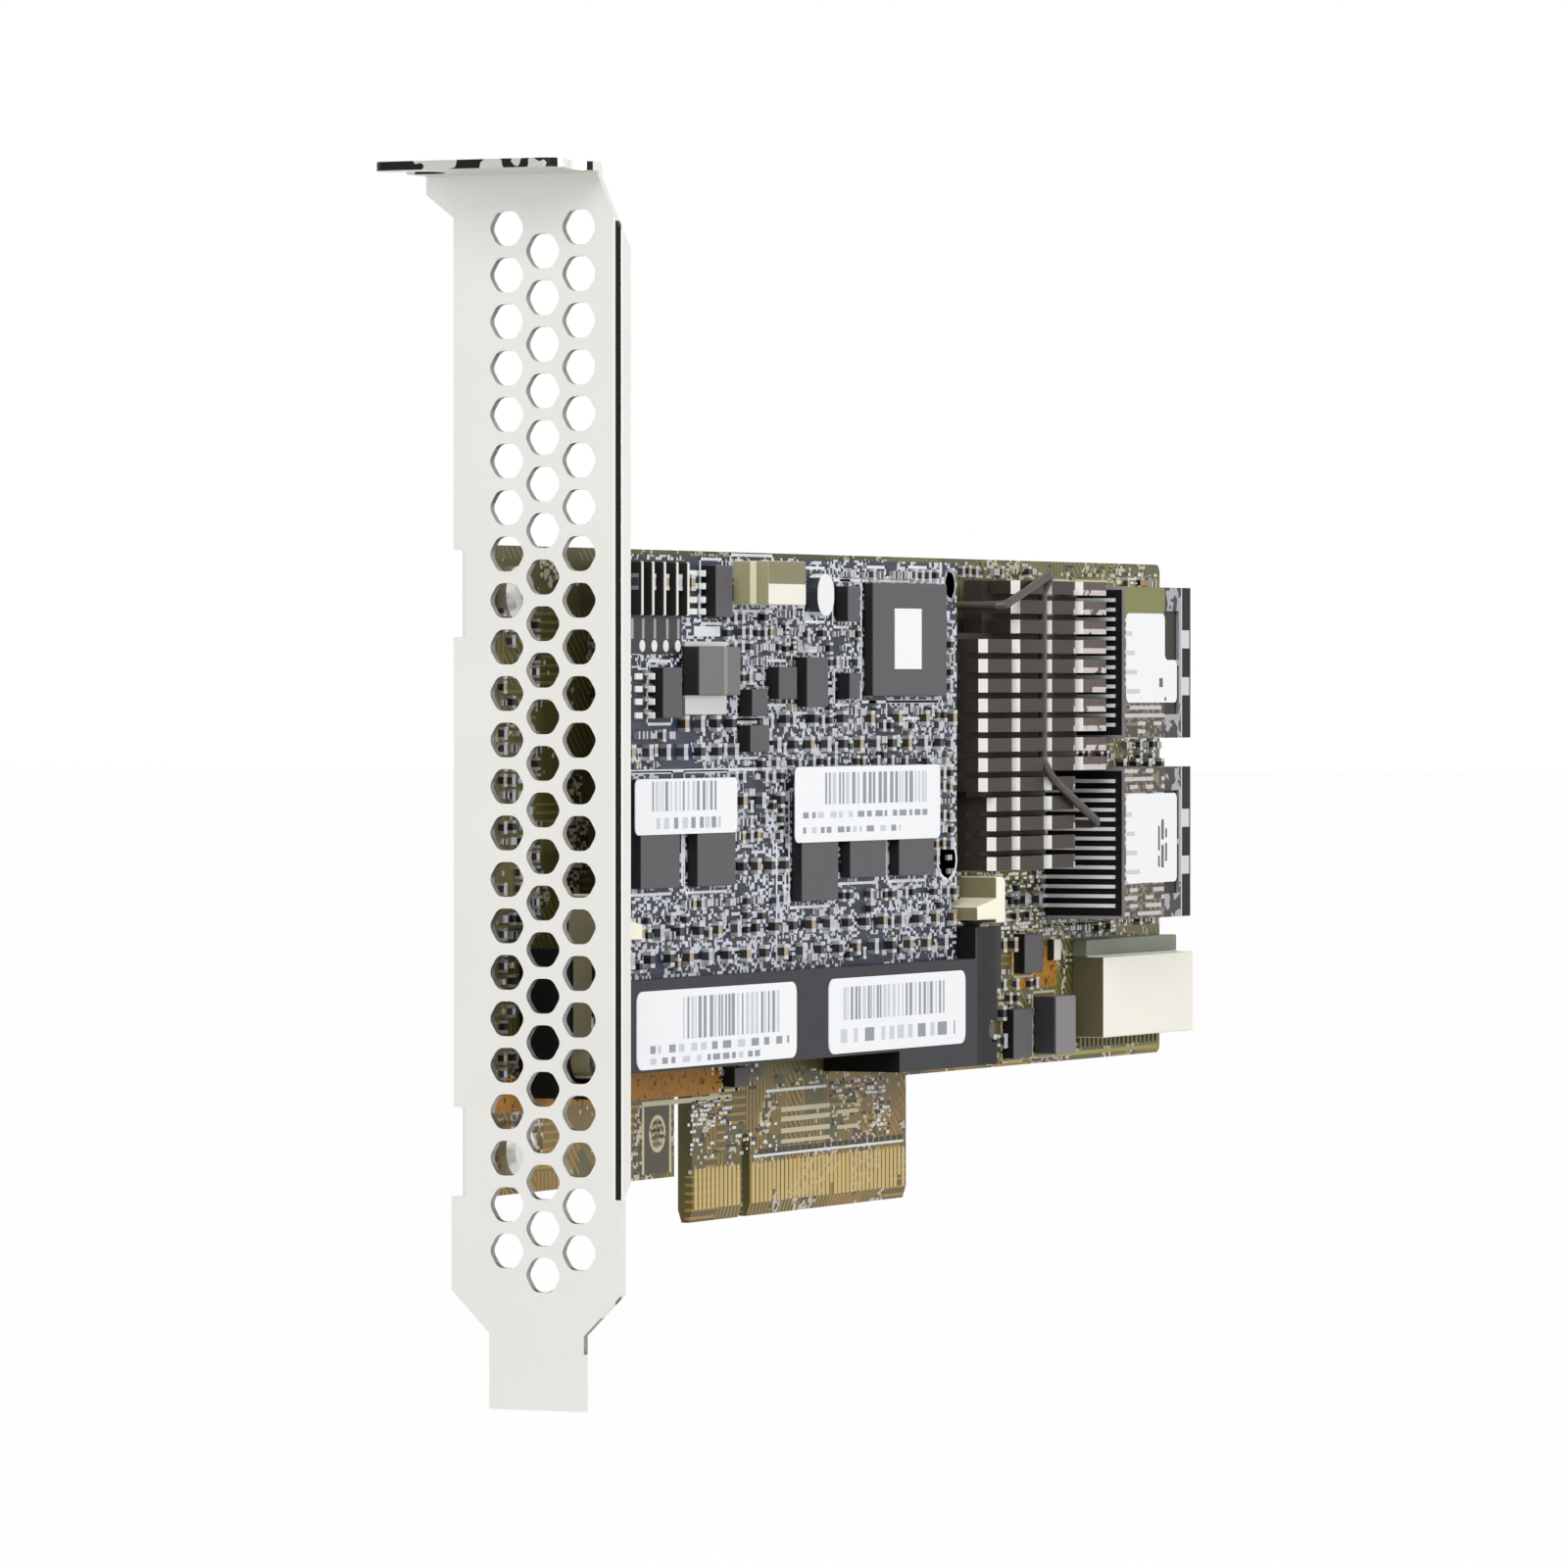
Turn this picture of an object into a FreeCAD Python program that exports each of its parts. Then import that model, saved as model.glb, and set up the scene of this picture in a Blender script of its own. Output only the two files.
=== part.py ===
"""Storage controller card: a low-profile board on a full-height vented bracket.

Frame, in millimetres: +X runs along the card away from the bracket, +Z runs up from
the contact edge, and the component side faces -Y.  The origin is the middle of the key
notch, on the board's mid-plane, at the bottom of the contact tongue.  Distances called
"out" are measured from the mid-plane towards the component side, so out = -y.
"""
import FreeCAD, Part
import math
import os
import re

import Sketcher

Vector = FreeCAD.Vector
doc = FreeCAD.newDocument("controller_card")

# ---------------------------------------------------------------- driving dimensions
SIZES = {
    # board
    "board_thickness": 1.57, "board_left": -57.9, "board_beyond_ports": 32.2,
    "board_top": 68.0, "board_bottom": 13.0, "leg_bottom": 4.9, "leg_right": -16.7,
    "board_corner": 1.0,
    # contact tongue
    "key_width": 1.9, "key_depth": 7.65, "short_tongue": 11.65, "long_tongue": 38.65,
    "bevel_height": 1.3, "bevel_depth": 0.4,
    "contact_pitch": 1.0, "contact_width": 0.7, "contact_thickness": 0.05,
    "contact_top": 5.4, "contact_margin": 0.825,
    "short_contacts": 11, "long_contacts": 38, "sense_contact_cut": 1.2,
    # bracket
    "sheet": 0.86, "bracket_face": -59.05, "bracket_middle": 6.61, "bracket_width": 18.42,
    "bracket_top": 104.51, "bracket_height": 120.02, "folded_width": 17.9,
    "bend_radius": 0.7, "flange_lift": 1.2,
    "shoulder": 4.11, "foot_length": 7.3, "fold_start": 4.96, "fold_end": 98.05,
    "fold_depth": 2.45, "fold_slope": 1.6, "ear_height": 2.6, "ear_slope": 2.3,
    "flange_reach": 11.43, "flange_left": 5.3, "flange_right": 14.5, "neck_right": 13.3,
    "screw_slot": 4.42, "screw_slot_out": -2.4, "screw_slot_reach": 6.35,
    "slot_spacing": 20.32, "relief_radius": 4.4,
    "vent_flats": 3.37, "vent_pitch": 4.486, "vent_columns_apart": 3.89,
    "vent_middle": 7.32, "vent_above_shoulder": 1.65, "vent_below_top": 5.5,
    # board tabs on the bracket and their screws
    "tab_reach": 9.4, "tab_height": 8.4, "tab_screw_left": 5.75, "tab_corner": 1.5,
    "upper_tab_middle": 63.3, "lower_tab_middle": 9.4,
    "screw_hole": 3.3, "screw_shank": 2.9, "screw_head": 5.4, "screw_head_height": 1.7,
    "screw_drive": 1.6, "screw_end": 0.7,
    # controller chip and heat sink
    "chip_from_sink": 15.8, "chip_middle_z": 50.1, "chip_size": 23.0, "chip_height": 2.2,
    "lid_size": 19.0, "lid_height": 0.5,
    "thermal_pad_size": 18.0, "thermal_pad_thickness": 0.4,
    "sink_gap": 3.6, "sink_bottom": 34.7, "sink_out": 9.5, "sink_base": 2.1,
    "fin_thickness": 1.45, "fin_pitch": 2.105, "fin_count": 15,
    "block_length": 6.27, "block_pitch": 8.467, "block_count": 4,
    "upper_cut_rows": 3, "lower_cut_rows": 5, "inset_rows": 4, "lower_rows_inset": 2.2,
    # wire clip and its board hooks
    "wire": 0.9, "wire_clearance": 0.15, "wire_bend": 1.0, "clip_hook_reach": 2.6,
    "clip_beside_chip": 1.2, "clip_above_chip": 1.28, "clip_over_chip_edge": 0.28,
    "anchor_width": 2.4,
    # cache module and its socket
    "module_left": -44.2, "module_width": 82.0, "module_steps": 82, "module_out": 7.5,
    "module_thickness": 1.0, "module_top": 67.3, "module_seat": 17.4,
    "module_notch_depth": 1.5, "module_notch_bottom": 28.9, "module_notch_height": 3.2,
    "module_corner": 1.0,
    "socket_end": 7.1, "socket_bottom": 14.2, "socket_top": 25.5, "socket_out": 9.5,
    "socket_bar_bottom": 16.4, "socket_foot": 26.0,
    "slot_clearance": 0.15, "tower_top": 28.8, "tower_width": 6.7, "tower_step": 1.0,
    "tower_step_bottom": 22.2, "tower_inside": 3.9,
    "fork_back": 6.1, "fork_front": 8.7, "fork_bottom": 15.7,
    "tail_width": 0.5, "tail_pitch": 3.6, "tail_count": 17, "tail_length": 0.7,
    "tail_start": 0.5, "tail_thickness": 0.25,
    # ejector latches
    "latch_pivot_beyond": 5.3, "latch_pivot_z": 17.8, "latch_thickness": 2.4,
    "latch_top": 34.1, "latch_foot": 1.7, "latch_head_back": 5.9, "latch_head_front": 10.3,
    "latch_head_bottom": 29.2, "latch_gap": 0.3, "latch_hook_bottom": 29.6,
    "latch_hook_top": 31.0, "latch_hook_grip": 0.8, "latch_corner": 0.8,
    "latch_boss": 2.0, "latch_boss_gap": 0.3, "latch_boss_depth": 0.9,
    # module parts
    "memory_width": 8.8, "memory_height": 10.8, "memory_thickness": 1.2,
    "cache_chip_from_end": 23.5, "cache_chip_low": 35.9,
    "cache_chip_width": 18.6, "cache_chip_height": 11.7, "cache_chip_thickness": 1.1,
    "sticker_inset": 5.3, "sticker_lift": 2.8, "sticker_width": 6.6,
    "sticker_height": 6.3, "label_thickness": 0.1,
    "passive_width": 0.9, "passive_length": 1.6,
    "passive_height": 0.8,
    "header_left": 27.2, "header_width": 8.8, "header_low": 45.1, "header_height": 4.4,
    "header_out": 4.0, "header_wall": 0.6, "header_depth": 3.4, "header_pin": 0.5,
    "header_pitch": 1.25, "header_pins": 6,
    "crystal_left": 44.5, "crystal_low": 44.1, "crystal_width": 4.0,
    "crystal_height": 4.3, "crystal_thickness": 1.3,
    "coil_left": 15.4, "coil_low": 36.0, "coil_width": 9.5, "coil_height": 4.9,
    "coil_thickness": 2.0, "coil_terminal": 1.9, "coil_terminal_thickness": 0.4,
    "driver_thickness": 1.5, "lead_length": 1.6, "lead_width": 0.45, "lead_pitch": 1.27,
    "lead_thickness": 0.3,
    # internal cable ports
    "port_gap": 3.33, "port_length": 18.5, "port_out": 10.3, "port_width": 16.6,
    "port_low_bottom": 28.8, "port_spacing": 19.8, "shell_sheet": 0.35,
    "port_rim_length": 2.4, "mouth_wall": 1.1, "mouth_depth": 5.5,
    "plug_slot": 3.4, "plug_slot_width": 14.3, "plug_slot_depth": 7.0,
    "port_window": 5.4, "port_window_length": 4.2, "port_windows_apart": 6.0,
    "port_window_back": 0.9, "port_tab": 2.0, "port_tabs_apart": 5.2,
    "port_contact": 0.4, "port_contact_pitch": 1.05,
    "port_contacts": 14, "port_tail_length": 1.4,
    "port_label_inset": 0.3, "port_label_width": 14.1, "port_label_height": 9.8,
    "port_label_lift": 3.9,
    # flat header beside the ports
    "side_from_ports": 7.4, "side_length": 25.5, "side_bottom": 15.5, "side_top": 24.4,
    "side_out": 4.6, "side_lip_top": 26.3, "side_lip_out": 2.6,
    "side_mouth_depth": 6.0, "side_wall": 1.0, "side_contact": 0.5,
    "side_contact_pitch": 1.2, "side_contacts": 19, "side_tail_length": 1.2,
    # power parts on the board
    "inductor_before_ports": 3.1, "inductor_width": 5.6, "inductor_lift": 1.0,
    "inductor_height": 6.4, "inductor_thickness": 2.7, "board_chip_thickness": 1.3,
    # labels on the socket
    "socket_label_low": 16.7, "socket_label_high": 24.4, "socket_label_inset": 1.1,
    "left_label_width": 36.7, "right_label_start": 45.6, "right_label_width": 34.0,
}
NOTES = "Sizes in millimetres; counts are plain numbers"

# Places worked out from the driving dimensions.
PLACES = {
    "board_face": "board_thickness / 2",
    "tongue_left": "-(key_width / 2 + short_tongue)",
    "tongue_right": "key_width / 2 + long_tongue",
    "bracket_back": "bracket_face + sheet",
    "bracket_tip": "bracket_top - bracket_height",
    "foot_width": "bracket_width - 2 * shoulder",
    "screw_x": "bracket_face + tab_screw_left",
    "flange_under": "bracket_top - sheet",
    "chip_out": "board_face + chip_height",
    "lid_out": "chip_out + lid_height",
    "module_right": "module_left + module_width",
    "module_middle": "module_left + module_width / 2",
    "module_step": "module_width / module_steps",
    "module_back": "module_out - module_thickness",
    "socket_left": "module_left - socket_end",
    "socket_right": "module_right + socket_end",
    "cache_chip_left": "module_right - cache_chip_from_end",
    "memory_out": "module_out + memory_thickness",
    "cache_chip_out": "module_out + cache_chip_thickness",
    "vent_lowest": "bracket_tip + foot_length + shoulder + vent_above_shoulder",
    "vent_rows": "1 + floor((bracket_top - vent_below_top - vent_lowest) / vent_pitch)",
    "sink_left": "module_right + sink_gap",
    "sink_back": "lid_out + thermal_pad_thickness",
    "fin_root": "sink_back + sink_base",
    "sink_top": "sink_bottom + (fin_count - 1) * fin_pitch + fin_thickness",
    "sink_right": "sink_left + (block_count - 1) * block_pitch + block_length",
    "channel": "block_pitch - block_length",
    "clip_x": "sink_left + 2 * block_pitch - channel / 2",
    "chip_middle_x": "sink_left + chip_from_sink",
    "port_left": "sink_right + port_gap",
    "port_right": "port_left + port_length",
    "rim_start": "port_right - port_rim_length",
    "port_high_bottom": "port_low_bottom + port_spacing",
    "side_left": "port_left + side_from_ports",
    "side_right": "side_left + side_length",
    "board_right": "port_left + board_beyond_ports",
    "inductor_left": "port_left - inductor_before_ports",
}


def bound(text):
    """Turns plain words in a formula into references to the sheet's cells."""
    def swap(match):
        word = match.group(0)
        if word in SIZES:
            return "Sizes." + word
        if word in PLACES:
            return "(" + bound(PLACES[word]) + ")"
        return word
    return re.sub(r"[a-z][a-z_0-9]*", swap, str(text))


sheet = doc.addObject("Spreadsheet::Sheet", "Sizes")
sheet.set("A1", NOTES)
for row, (word, number) in enumerate(SIZES.items(), 2):
    sheet.set("A%d" % row, word.replace("_", " "))
    sheet.set("B%d" % row, str(number))
    sheet.setAlias("B%d" % row, word)
doc.recompute()


def value(text):
    """The number that a formula gives now, for shapes computed in code."""
    return float(sheet.evalExpression(bound(text)))


# ---------------------------------------------------------------- modelling helpers
nodes = []


def named(thing, label):
    """Marks an object as a sub-part of its own, which is exported under its label."""
    thing.Label = label
    nodes.append(thing)
    return thing


def new_body(name):
    return doc.addObject("PartDesign::Body", name + "_body")


def origin_part(body, role):
    return next(part for part in body.Origin.OriginFeatures if part.Role == role)


def sketch(body, name, plane, offset, *loops):
    """A closed polygon sketch whose every corner is bound to two formulas.

    plane is XZ (lying out from the board), YZ or XY; offset is along its normal.
    """
    drawing = body.newObject("Sketcher::SketchObject", name)
    drawing.AttachmentSupport = (origin_part(body, plane + "_Plane"), [""])
    drawing.MapMode = "FlatFace"
    drawing.setExpression("AttachmentOffset.Base.z", bound(offset))
    for corners in loops:
        start = drawing.GeometryCount
        count = len(corners)
        places = [(value(across), value(up)) for across, up in corners]
        for index in range(count):
            first = Vector(*places[index], 0)
            second = Vector(*places[(index + 1) % count], 0)
            drawing.addGeometry(Part.LineSegment(first, second), False)
        for index in range(count):
            after = start + (index + 1) % count
            drawing.addConstraint(Sketcher.Constraint("Coincident", start + index, 2, after, 1))
        for index, corner in enumerate(corners):
            for kind, text, place in zip(("DistanceX", "DistanceY"), corner, places[index]):
                number = drawing.addConstraint(
                    Sketcher.Constraint(kind, -1, 1, start + index, 1, place))
                drawing.setExpression("Constraints[%d]" % number, bound(text))
    return drawing


def circles(body, name, plane, offset, diameter, *middles):
    """A sketch of equal circles, each middle bound to two formulas."""
    drawing = body.newObject("Sketcher::SketchObject", name)
    drawing.AttachmentSupport = (origin_part(body, plane + "_Plane"), [""])
    drawing.MapMode = "FlatFace"
    drawing.setExpression("AttachmentOffset.Base.z", bound(offset))
    for index, (across, up) in enumerate(middles):
        middle = Vector(value(across), value(up), 0)
        drawing.addGeometry(Part.Circle(middle, Vector(0, 0, 1), value(diameter) / 2), False)
        for kind, text in (("DistanceX", across), ("DistanceY", up)):
            number = drawing.addConstraint(
                Sketcher.Constraint(kind, -1, 1, index, 3, value(text)))
            drawing.setExpression("Constraints[%d]" % number, bound(text))
        number = drawing.addConstraint(
            Sketcher.Constraint("Diameter", index, value(diameter)))
        drawing.setExpression("Constraints[%d]" % number, bound(diameter))
    return drawing


def rectangle(left, right, bottom, top):
    return [(left, bottom), (right, bottom), (right, top), (left, top)]


def pad(body, drawing, length):
    """Adds the sketch, grown along its plane's normal."""
    feature = body.newObject("PartDesign::Pad", drawing.Name + "_pad")
    feature.Profile = drawing
    feature.setExpression("Length", bound(length))
    drawing.Visibility = False
    return feature


def cut(body, drawing, depth=None):
    """Cuts the sketch to a depth against its normal, or right through both ways."""
    feature = body.newObject("PartDesign::Pocket", drawing.Name + "_cut")
    feature.Profile = drawing
    if depth is None:
        feature.Type = "ThroughAll"
        feature.Midplane = True
    else:
        feature.setExpression("Length", bound(depth))
    drawing.Visibility = False
    return feature


def repeat(body, features, role, reverse, pitch, count):
    """Repeats features along one of the body's axes at a pitch."""
    pattern = body.newObject("PartDesign::LinearPattern", features[0].Name + "_row")
    pattern.Originals = features
    pattern.Direction = (origin_part(body, role), [""])
    pattern.Reversed = reverse
    pattern.Mode = "Spacing"
    pattern.setExpression("Offset", bound(pitch))
    pattern.setExpression("Occurrences", bound(count))
    body.Tip = pattern
    return pattern


def round_edges(body, radius, choose):
    """Fillets the edges of the body's tip that choose(edge) accepts."""
    doc.recompute()
    base = body.Tip
    picked = ["Edge%d" % number for number, edge in enumerate(base.Shape.Edges, 1)
              if choose(edge)]
    feature = body.newObject("PartDesign::Fillet", base.Name + "_round")
    feature.Base = (base, picked)
    feature.setExpression("Radius", bound(radius))
    return feature


def along(edge, axis, **places):
    """True for a straight edge along one axis at the given places."""
    if not isinstance(edge.Curve, Part.Line):
        return False
    if abs(abs(edge.Curve.Direction[axis]) - 1) > 1e-6:
        return False
    middle = edge.CenterOfMass
    return all(abs(getattr(middle, key) - place) < 1e-3 for key, place in places.items())


def block(name, x, out, z):
    """A box between two formulas each way; out grows towards the component side."""
    box = doc.addObject("Part::Box", name)
    box.setExpression("Placement.Base.x", bound("(%s)" % x[0]))
    box.setExpression("Placement.Base.y", bound("-(%s)" % out[1]))
    box.setExpression("Placement.Base.z", bound("(%s)" % z[0]))
    box.setExpression("Length", bound("(%s) - (%s)" % (x[1], x[0])))
    box.setExpression("Width", bound("(%s) - (%s)" % (out[1], out[0])))
    box.setExpression("Height", bound("(%s) - (%s)" % (z[1], z[0])))
    return box


def group(label, members):
    """Several separate solids of one kind as one sub-part."""
    together = doc.addObject("Part::Compound", label + "_group")
    together.Links = members
    return named(together, label)


def chips(label, height, seat, plan):
    """Flat boxes standing out from a seat, from (left, bottom, width, height) rows."""
    members = []
    for number, (left, bottom, width, tall) in enumerate(plan, 1):
        x = (left, "%s + %s" % (left, width))
        z = (bottom, "%s + %s" % (bottom, tall))
        members.append(block("%s_%d" % (label, number), x, (seat, "%s + %s" % (seat, height)), z))
    return group(label, members)


def computed(label, shapes):
    """Many small solids whose shapes are worked out in code from the sheet."""
    feature = doc.addObject("Part::Feature", label + "_set")
    feature.Shape = Part.makeCompound(shapes)
    return named(feature, label)


def small_box(left, right, inner, outer, bottom, top):
    corner = Vector(left, -outer, bottom)
    return Part.makeBox(right - left, outer - inner, top - bottom, corner)


# ---------------------------------------------------------------- bracket
def io_bracket():
    """Folded sheet bracket: vented plate, side fold, top flange and two board tabs."""
    body = new_body("io_bracket")
    low, wide = "bracket_width / 2", "folded_width / 2"
    foot_top, shoulder_top = "bracket_tip + foot_length", "bracket_tip + foot_length + shoulder"
    tab_face = "board_face + sheet"
    upper = ("upper_tab_middle - tab_height / 2", "upper_tab_middle + tab_height / 2")
    lower = ("lower_tab_middle - tab_height / 2", "lower_tab_middle + tab_height / 2")
    ear = "bracket_top - ear_height"
    plate = sketch(body, "plate", "YZ", "bracket_face", [
        ("-bracket_middle + foot_width / 2", "bracket_tip"),
        ("-bracket_middle - foot_width / 2", "bracket_tip"),
        ("-bracket_middle - foot_width / 2", foot_top),
        ("-bracket_middle - " + low, shoulder_top),
        ("-bracket_middle - " + low, "fold_start"),
        ("-bracket_middle - " + wide, "fold_start"),
        ("-bracket_middle - " + wide, "fold_end"),
        ("-neck_right", "bracket_top - flange_lift"),
        ("-neck_right", "bracket_top"),
        ("flange_left", "bracket_top"),
        ("flange_left", ear),
        ("-bracket_middle + " + wide, ear + " - ear_slope"),
        ("-bracket_middle + " + wide, upper[1]),
        (tab_face, upper[1]),
        (tab_face, upper[0]),
        ("-bracket_middle + " + wide, upper[0]),
        ("-bracket_middle + " + wide, lower[1]),
        (tab_face, lower[1]),
        (tab_face, "fold_start"),
        ("-bracket_middle + " + low, "fold_start"),
        ("-bracket_middle + " + low, shoulder_top),
        ("-bracket_middle + foot_width / 2", foot_top)])
    pad(body, plate, "sheet")

    fold_tip = "bracket_face + fold_depth"
    fold = sketch(body, "fold", "XZ", "bracket_middle + %s - sheet" % wide, [
        ("bracket_face", "fold_start"), ("bracket_back", "fold_start"),
        (fold_tip, "fold_start + fold_slope"), (fold_tip, "fold_end - fold_slope"),
        ("bracket_back", "fold_end"), ("bracket_face", "fold_end")])
    pad(body, fold, "sheet")

    flange_tip = "bracket_face - flange_reach"
    flange = sketch(body, "flange", "XY", "flange_under", [
        (flange_tip, "flange_left"), ("bracket_back", "flange_left"),
        ("bracket_back", "-neck_right"), ("bracket_face - sheet", "-neck_right"),
        ("bracket_face - 2 * sheet", "-flange_right"), (flange_tip, "-flange_right")])
    pad(body, flange, "sheet")

    for name, (bottom, top) in (("upper_tab", upper), ("lower_tab", lower)):
        tab = sketch(body, name, "XZ", "-(board_face + sheet)",
                     rectangle("bracket_face", "bracket_face + tab_reach", bottom, top))
        pad(body, tab, "sheet")

    # The outer side of each bend is rounded, and so are the free corners.
    bend_y = -value("bracket_middle + folded_width / 2")
    face_x, tab_y = value("bracket_face"), value("board_face + sheet")
    tab_end = value("bracket_face + tab_reach")
    round_edges(body, "bend_radius", lambda edge:
                along(edge, 2, x=face_x, y=bend_y) or along(edge, 2, x=face_x, y=tab_y)
                and edge.Length < value("tab_height") + 1
                or along(edge, 1, x=value("bracket_back"), z=value("bracket_top")))
    round_edges(body, "tab_corner", lambda edge:
                isinstance(edge.Curve, Part.Line) and abs(edge.CenterOfMass.x - tab_end) < 1e-3
                and abs(abs(edge.Curve.Direction.y) - 1) < 1e-6)
    round_edges(body, "tab_corner", lambda edge: along(edge, 2, x=value(flange_tip)))

    slot_x = "bracket_face - screw_slot_reach"
    cut(body, circles(body, "screw_slot_end", "XY", "bracket_top", "screw_slot",
                      (slot_x, "-screw_slot_out")))
    cut(body, sketch(body, "screw_slot_mouth", "XY", "bracket_top", rectangle(
        slot_x + " - screw_slot / 2", slot_x + " + screw_slot / 2",
        "-screw_slot_out", "flange_left + sheet")), "2 * sheet")
    cut(body, circles(body, "neighbour_relief", "XY", "bracket_top", "2 * relief_radius",
                      (slot_x, "-screw_slot_out - slot_spacing")), "2 * sheet")
    cut(body, circles(body, "screw_holes", "XZ", "0", "screw_hole",
                      ("screw_x", "upper_tab_middle"), ("screw_x", "lower_tab_middle")))

    vents = []
    for column, lift in ((-1, "vent_pitch / 2"), (0, "0"), (1, "vent_pitch / 2")):
        across = "-vent_middle + %d * vent_columns_apart" % column
        up = "vent_lowest + " + lift
        corner, half = "vent_flats / sqrt(3)", "vent_flats / 2"
        vents.append([(across + " - " + corner, up),
                      (across + " - %s / 2" % corner, up + " - " + half),
                      (across + " + %s / 2" % corner, up + " - " + half),
                      (across + " + " + corner, up),
                      (across + " + %s / 2" % corner, up + " + " + half),
                      (across + " - %s / 2" % corner, up + " + " + half)])
    vent = cut(body, sketch(body, "vents", "YZ", "bracket_back", *vents), "2 * sheet")
    repeat(body, [vent], "Z_Axis", False, "vent_pitch", "vent_rows")
    return named(body, "io_bracket")


def bracket_screws():
    """Two pan-head screws through the board into the bracket's tabs."""
    body = new_body("bracket_screws")
    head = "-(board_face + screw_head_height)"
    drive = "-(board_face + screw_head_height / 2)"
    profile = sketch(body, "screw", "XY", "lower_tab_middle", [
        ("0", drive), ("screw_drive / 2", drive), ("screw_drive / 2", head),
        ("screw_head / 2 - screw_head_height / 3", head),
        ("screw_head / 2", "-(board_face + screw_head_height * 0.6)"),
        ("screw_head / 2", "-board_face"), ("screw_shank / 2", "-board_face"),
        ("screw_shank / 2", "board_face + sheet + screw_end"),
        ("0", "board_face + sheet + screw_end")])
    profile.setExpression("AttachmentOffset.Base.x", bound("screw_x"))
    turned = body.newObject("PartDesign::Revolution", "screw_turned")
    turned.Profile = profile
    turned.ReferenceAxis = (profile, ["V_Axis"])
    turned.Angle = 360
    repeat(body, [turned], "Z_Axis", False, "upper_tab_middle - lower_tab_middle", "2")
    return named(body, "bracket_screws")


# ---------------------------------------------------------------- main board
def main_board():
    """The board, with its leg beside the bracket and its keyed, bevelled tongue."""
    body = new_body("main_board")
    outline = sketch(body, "board_outline", "XZ", "-board_face", [
        ("board_left", "leg_bottom"), ("leg_right", "leg_bottom"),
        ("leg_right", "board_bottom"), ("tongue_left", "board_bottom"),
        ("tongue_left", "0"), ("-key_width / 2", "0"), ("-key_width / 2", "key_depth"),
        ("key_width / 2", "key_depth"), ("key_width / 2", "0"), ("tongue_right", "0"),
        ("tongue_right", "board_bottom"), ("board_right", "board_bottom"),
        ("board_right", "board_top"), ("board_left", "board_top")])
    pad(body, outline, "board_thickness")
    corners = [(value(x), value(z)) for x, z in (
        ("board_left", "leg_bottom"), ("board_left", "board_top"),
        ("board_right", "board_bottom"), ("board_right", "board_top"))]
    round_edges(body, "board_corner", lambda edge: any(
        along(edge, 1, x=x, z=z) for x, z in corners))
    cut(body, circles(body, "key_end", "XZ", "0", "key_width", ("0", "key_depth")))
    inner = "(board_face - bevel_depth)"
    cut(body, sketch(body, "bevels", "YZ", "0",
                     [(inner, "0"), ("board_face", "0"), ("board_face", "bevel_height")],
                     [("-" + inner, "0"), ("-board_face", "bevel_height"), ("-board_face", "0")]))
    cut(body, circles(body, "board_screw_holes", "XZ", "0", "screw_hole",
                      ("screw_x", "upper_tab_middle"), ("screw_x", "lower_tab_middle")))
    return named(body, "main_board")


def edge_contacts(side, seat, short_cuts):
    """Gilded contacts on one face of the tongue; short_cuts sit lower than the rest."""
    body = new_body("edge_contacts_" + side)
    first = "(key_width / 2 + contact_margin)"
    for name, sign, count in (("short", "-", "short_contacts"), ("long", "", "long_contacts")):
        middle = sign + first
        drawing = sketch(body, "%s_%s" % (name, side), "XZ", seat, rectangle(
            middle + " - contact_width / 2", middle + " + contact_width / 2",
            "bevel_height", "contact_top"))
        contact = pad(body, drawing, "contact_thickness")
        repeat(body, [contact], "X_Axis", sign == "-", "contact_pitch", count)
    for number, (sign, place) in enumerate(short_cuts):
        middle = "%s(%s + %d * contact_pitch)" % (sign, first, place)
        cut(body, sketch(body, "sense_%s_%d" % (side, number), "XZ", "0", rectangle(
            middle + " - contact_pitch / 2", middle + " + contact_pitch / 2",
            "0", "bevel_height + sense_contact_cut")))
    body.Tip = body.Group[-1]
    return named(body, "edge_contacts_" + side)


# ---------------------------------------------------------------- controller and sink
def controller():
    half_chip, half_lid, half_pad = "chip_size / 2", "lid_size / 2", "thermal_pad_size / 2"

    def square(name, half, inner, outer):
        return block(name, ("chip_middle_x - " + half, "chip_middle_x + " + half),
                     (inner, outer), ("chip_middle_z - " + half, "chip_middle_z + " + half))
    group("controller_chip", [square("chip_base", half_chip, "board_face", "chip_out"),
                              square("chip_lid", half_lid, "chip_out", "lid_out")])
    named(square("thermal_pad_block", half_pad, "lid_out", "sink_back"), "thermal_pad")


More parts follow.
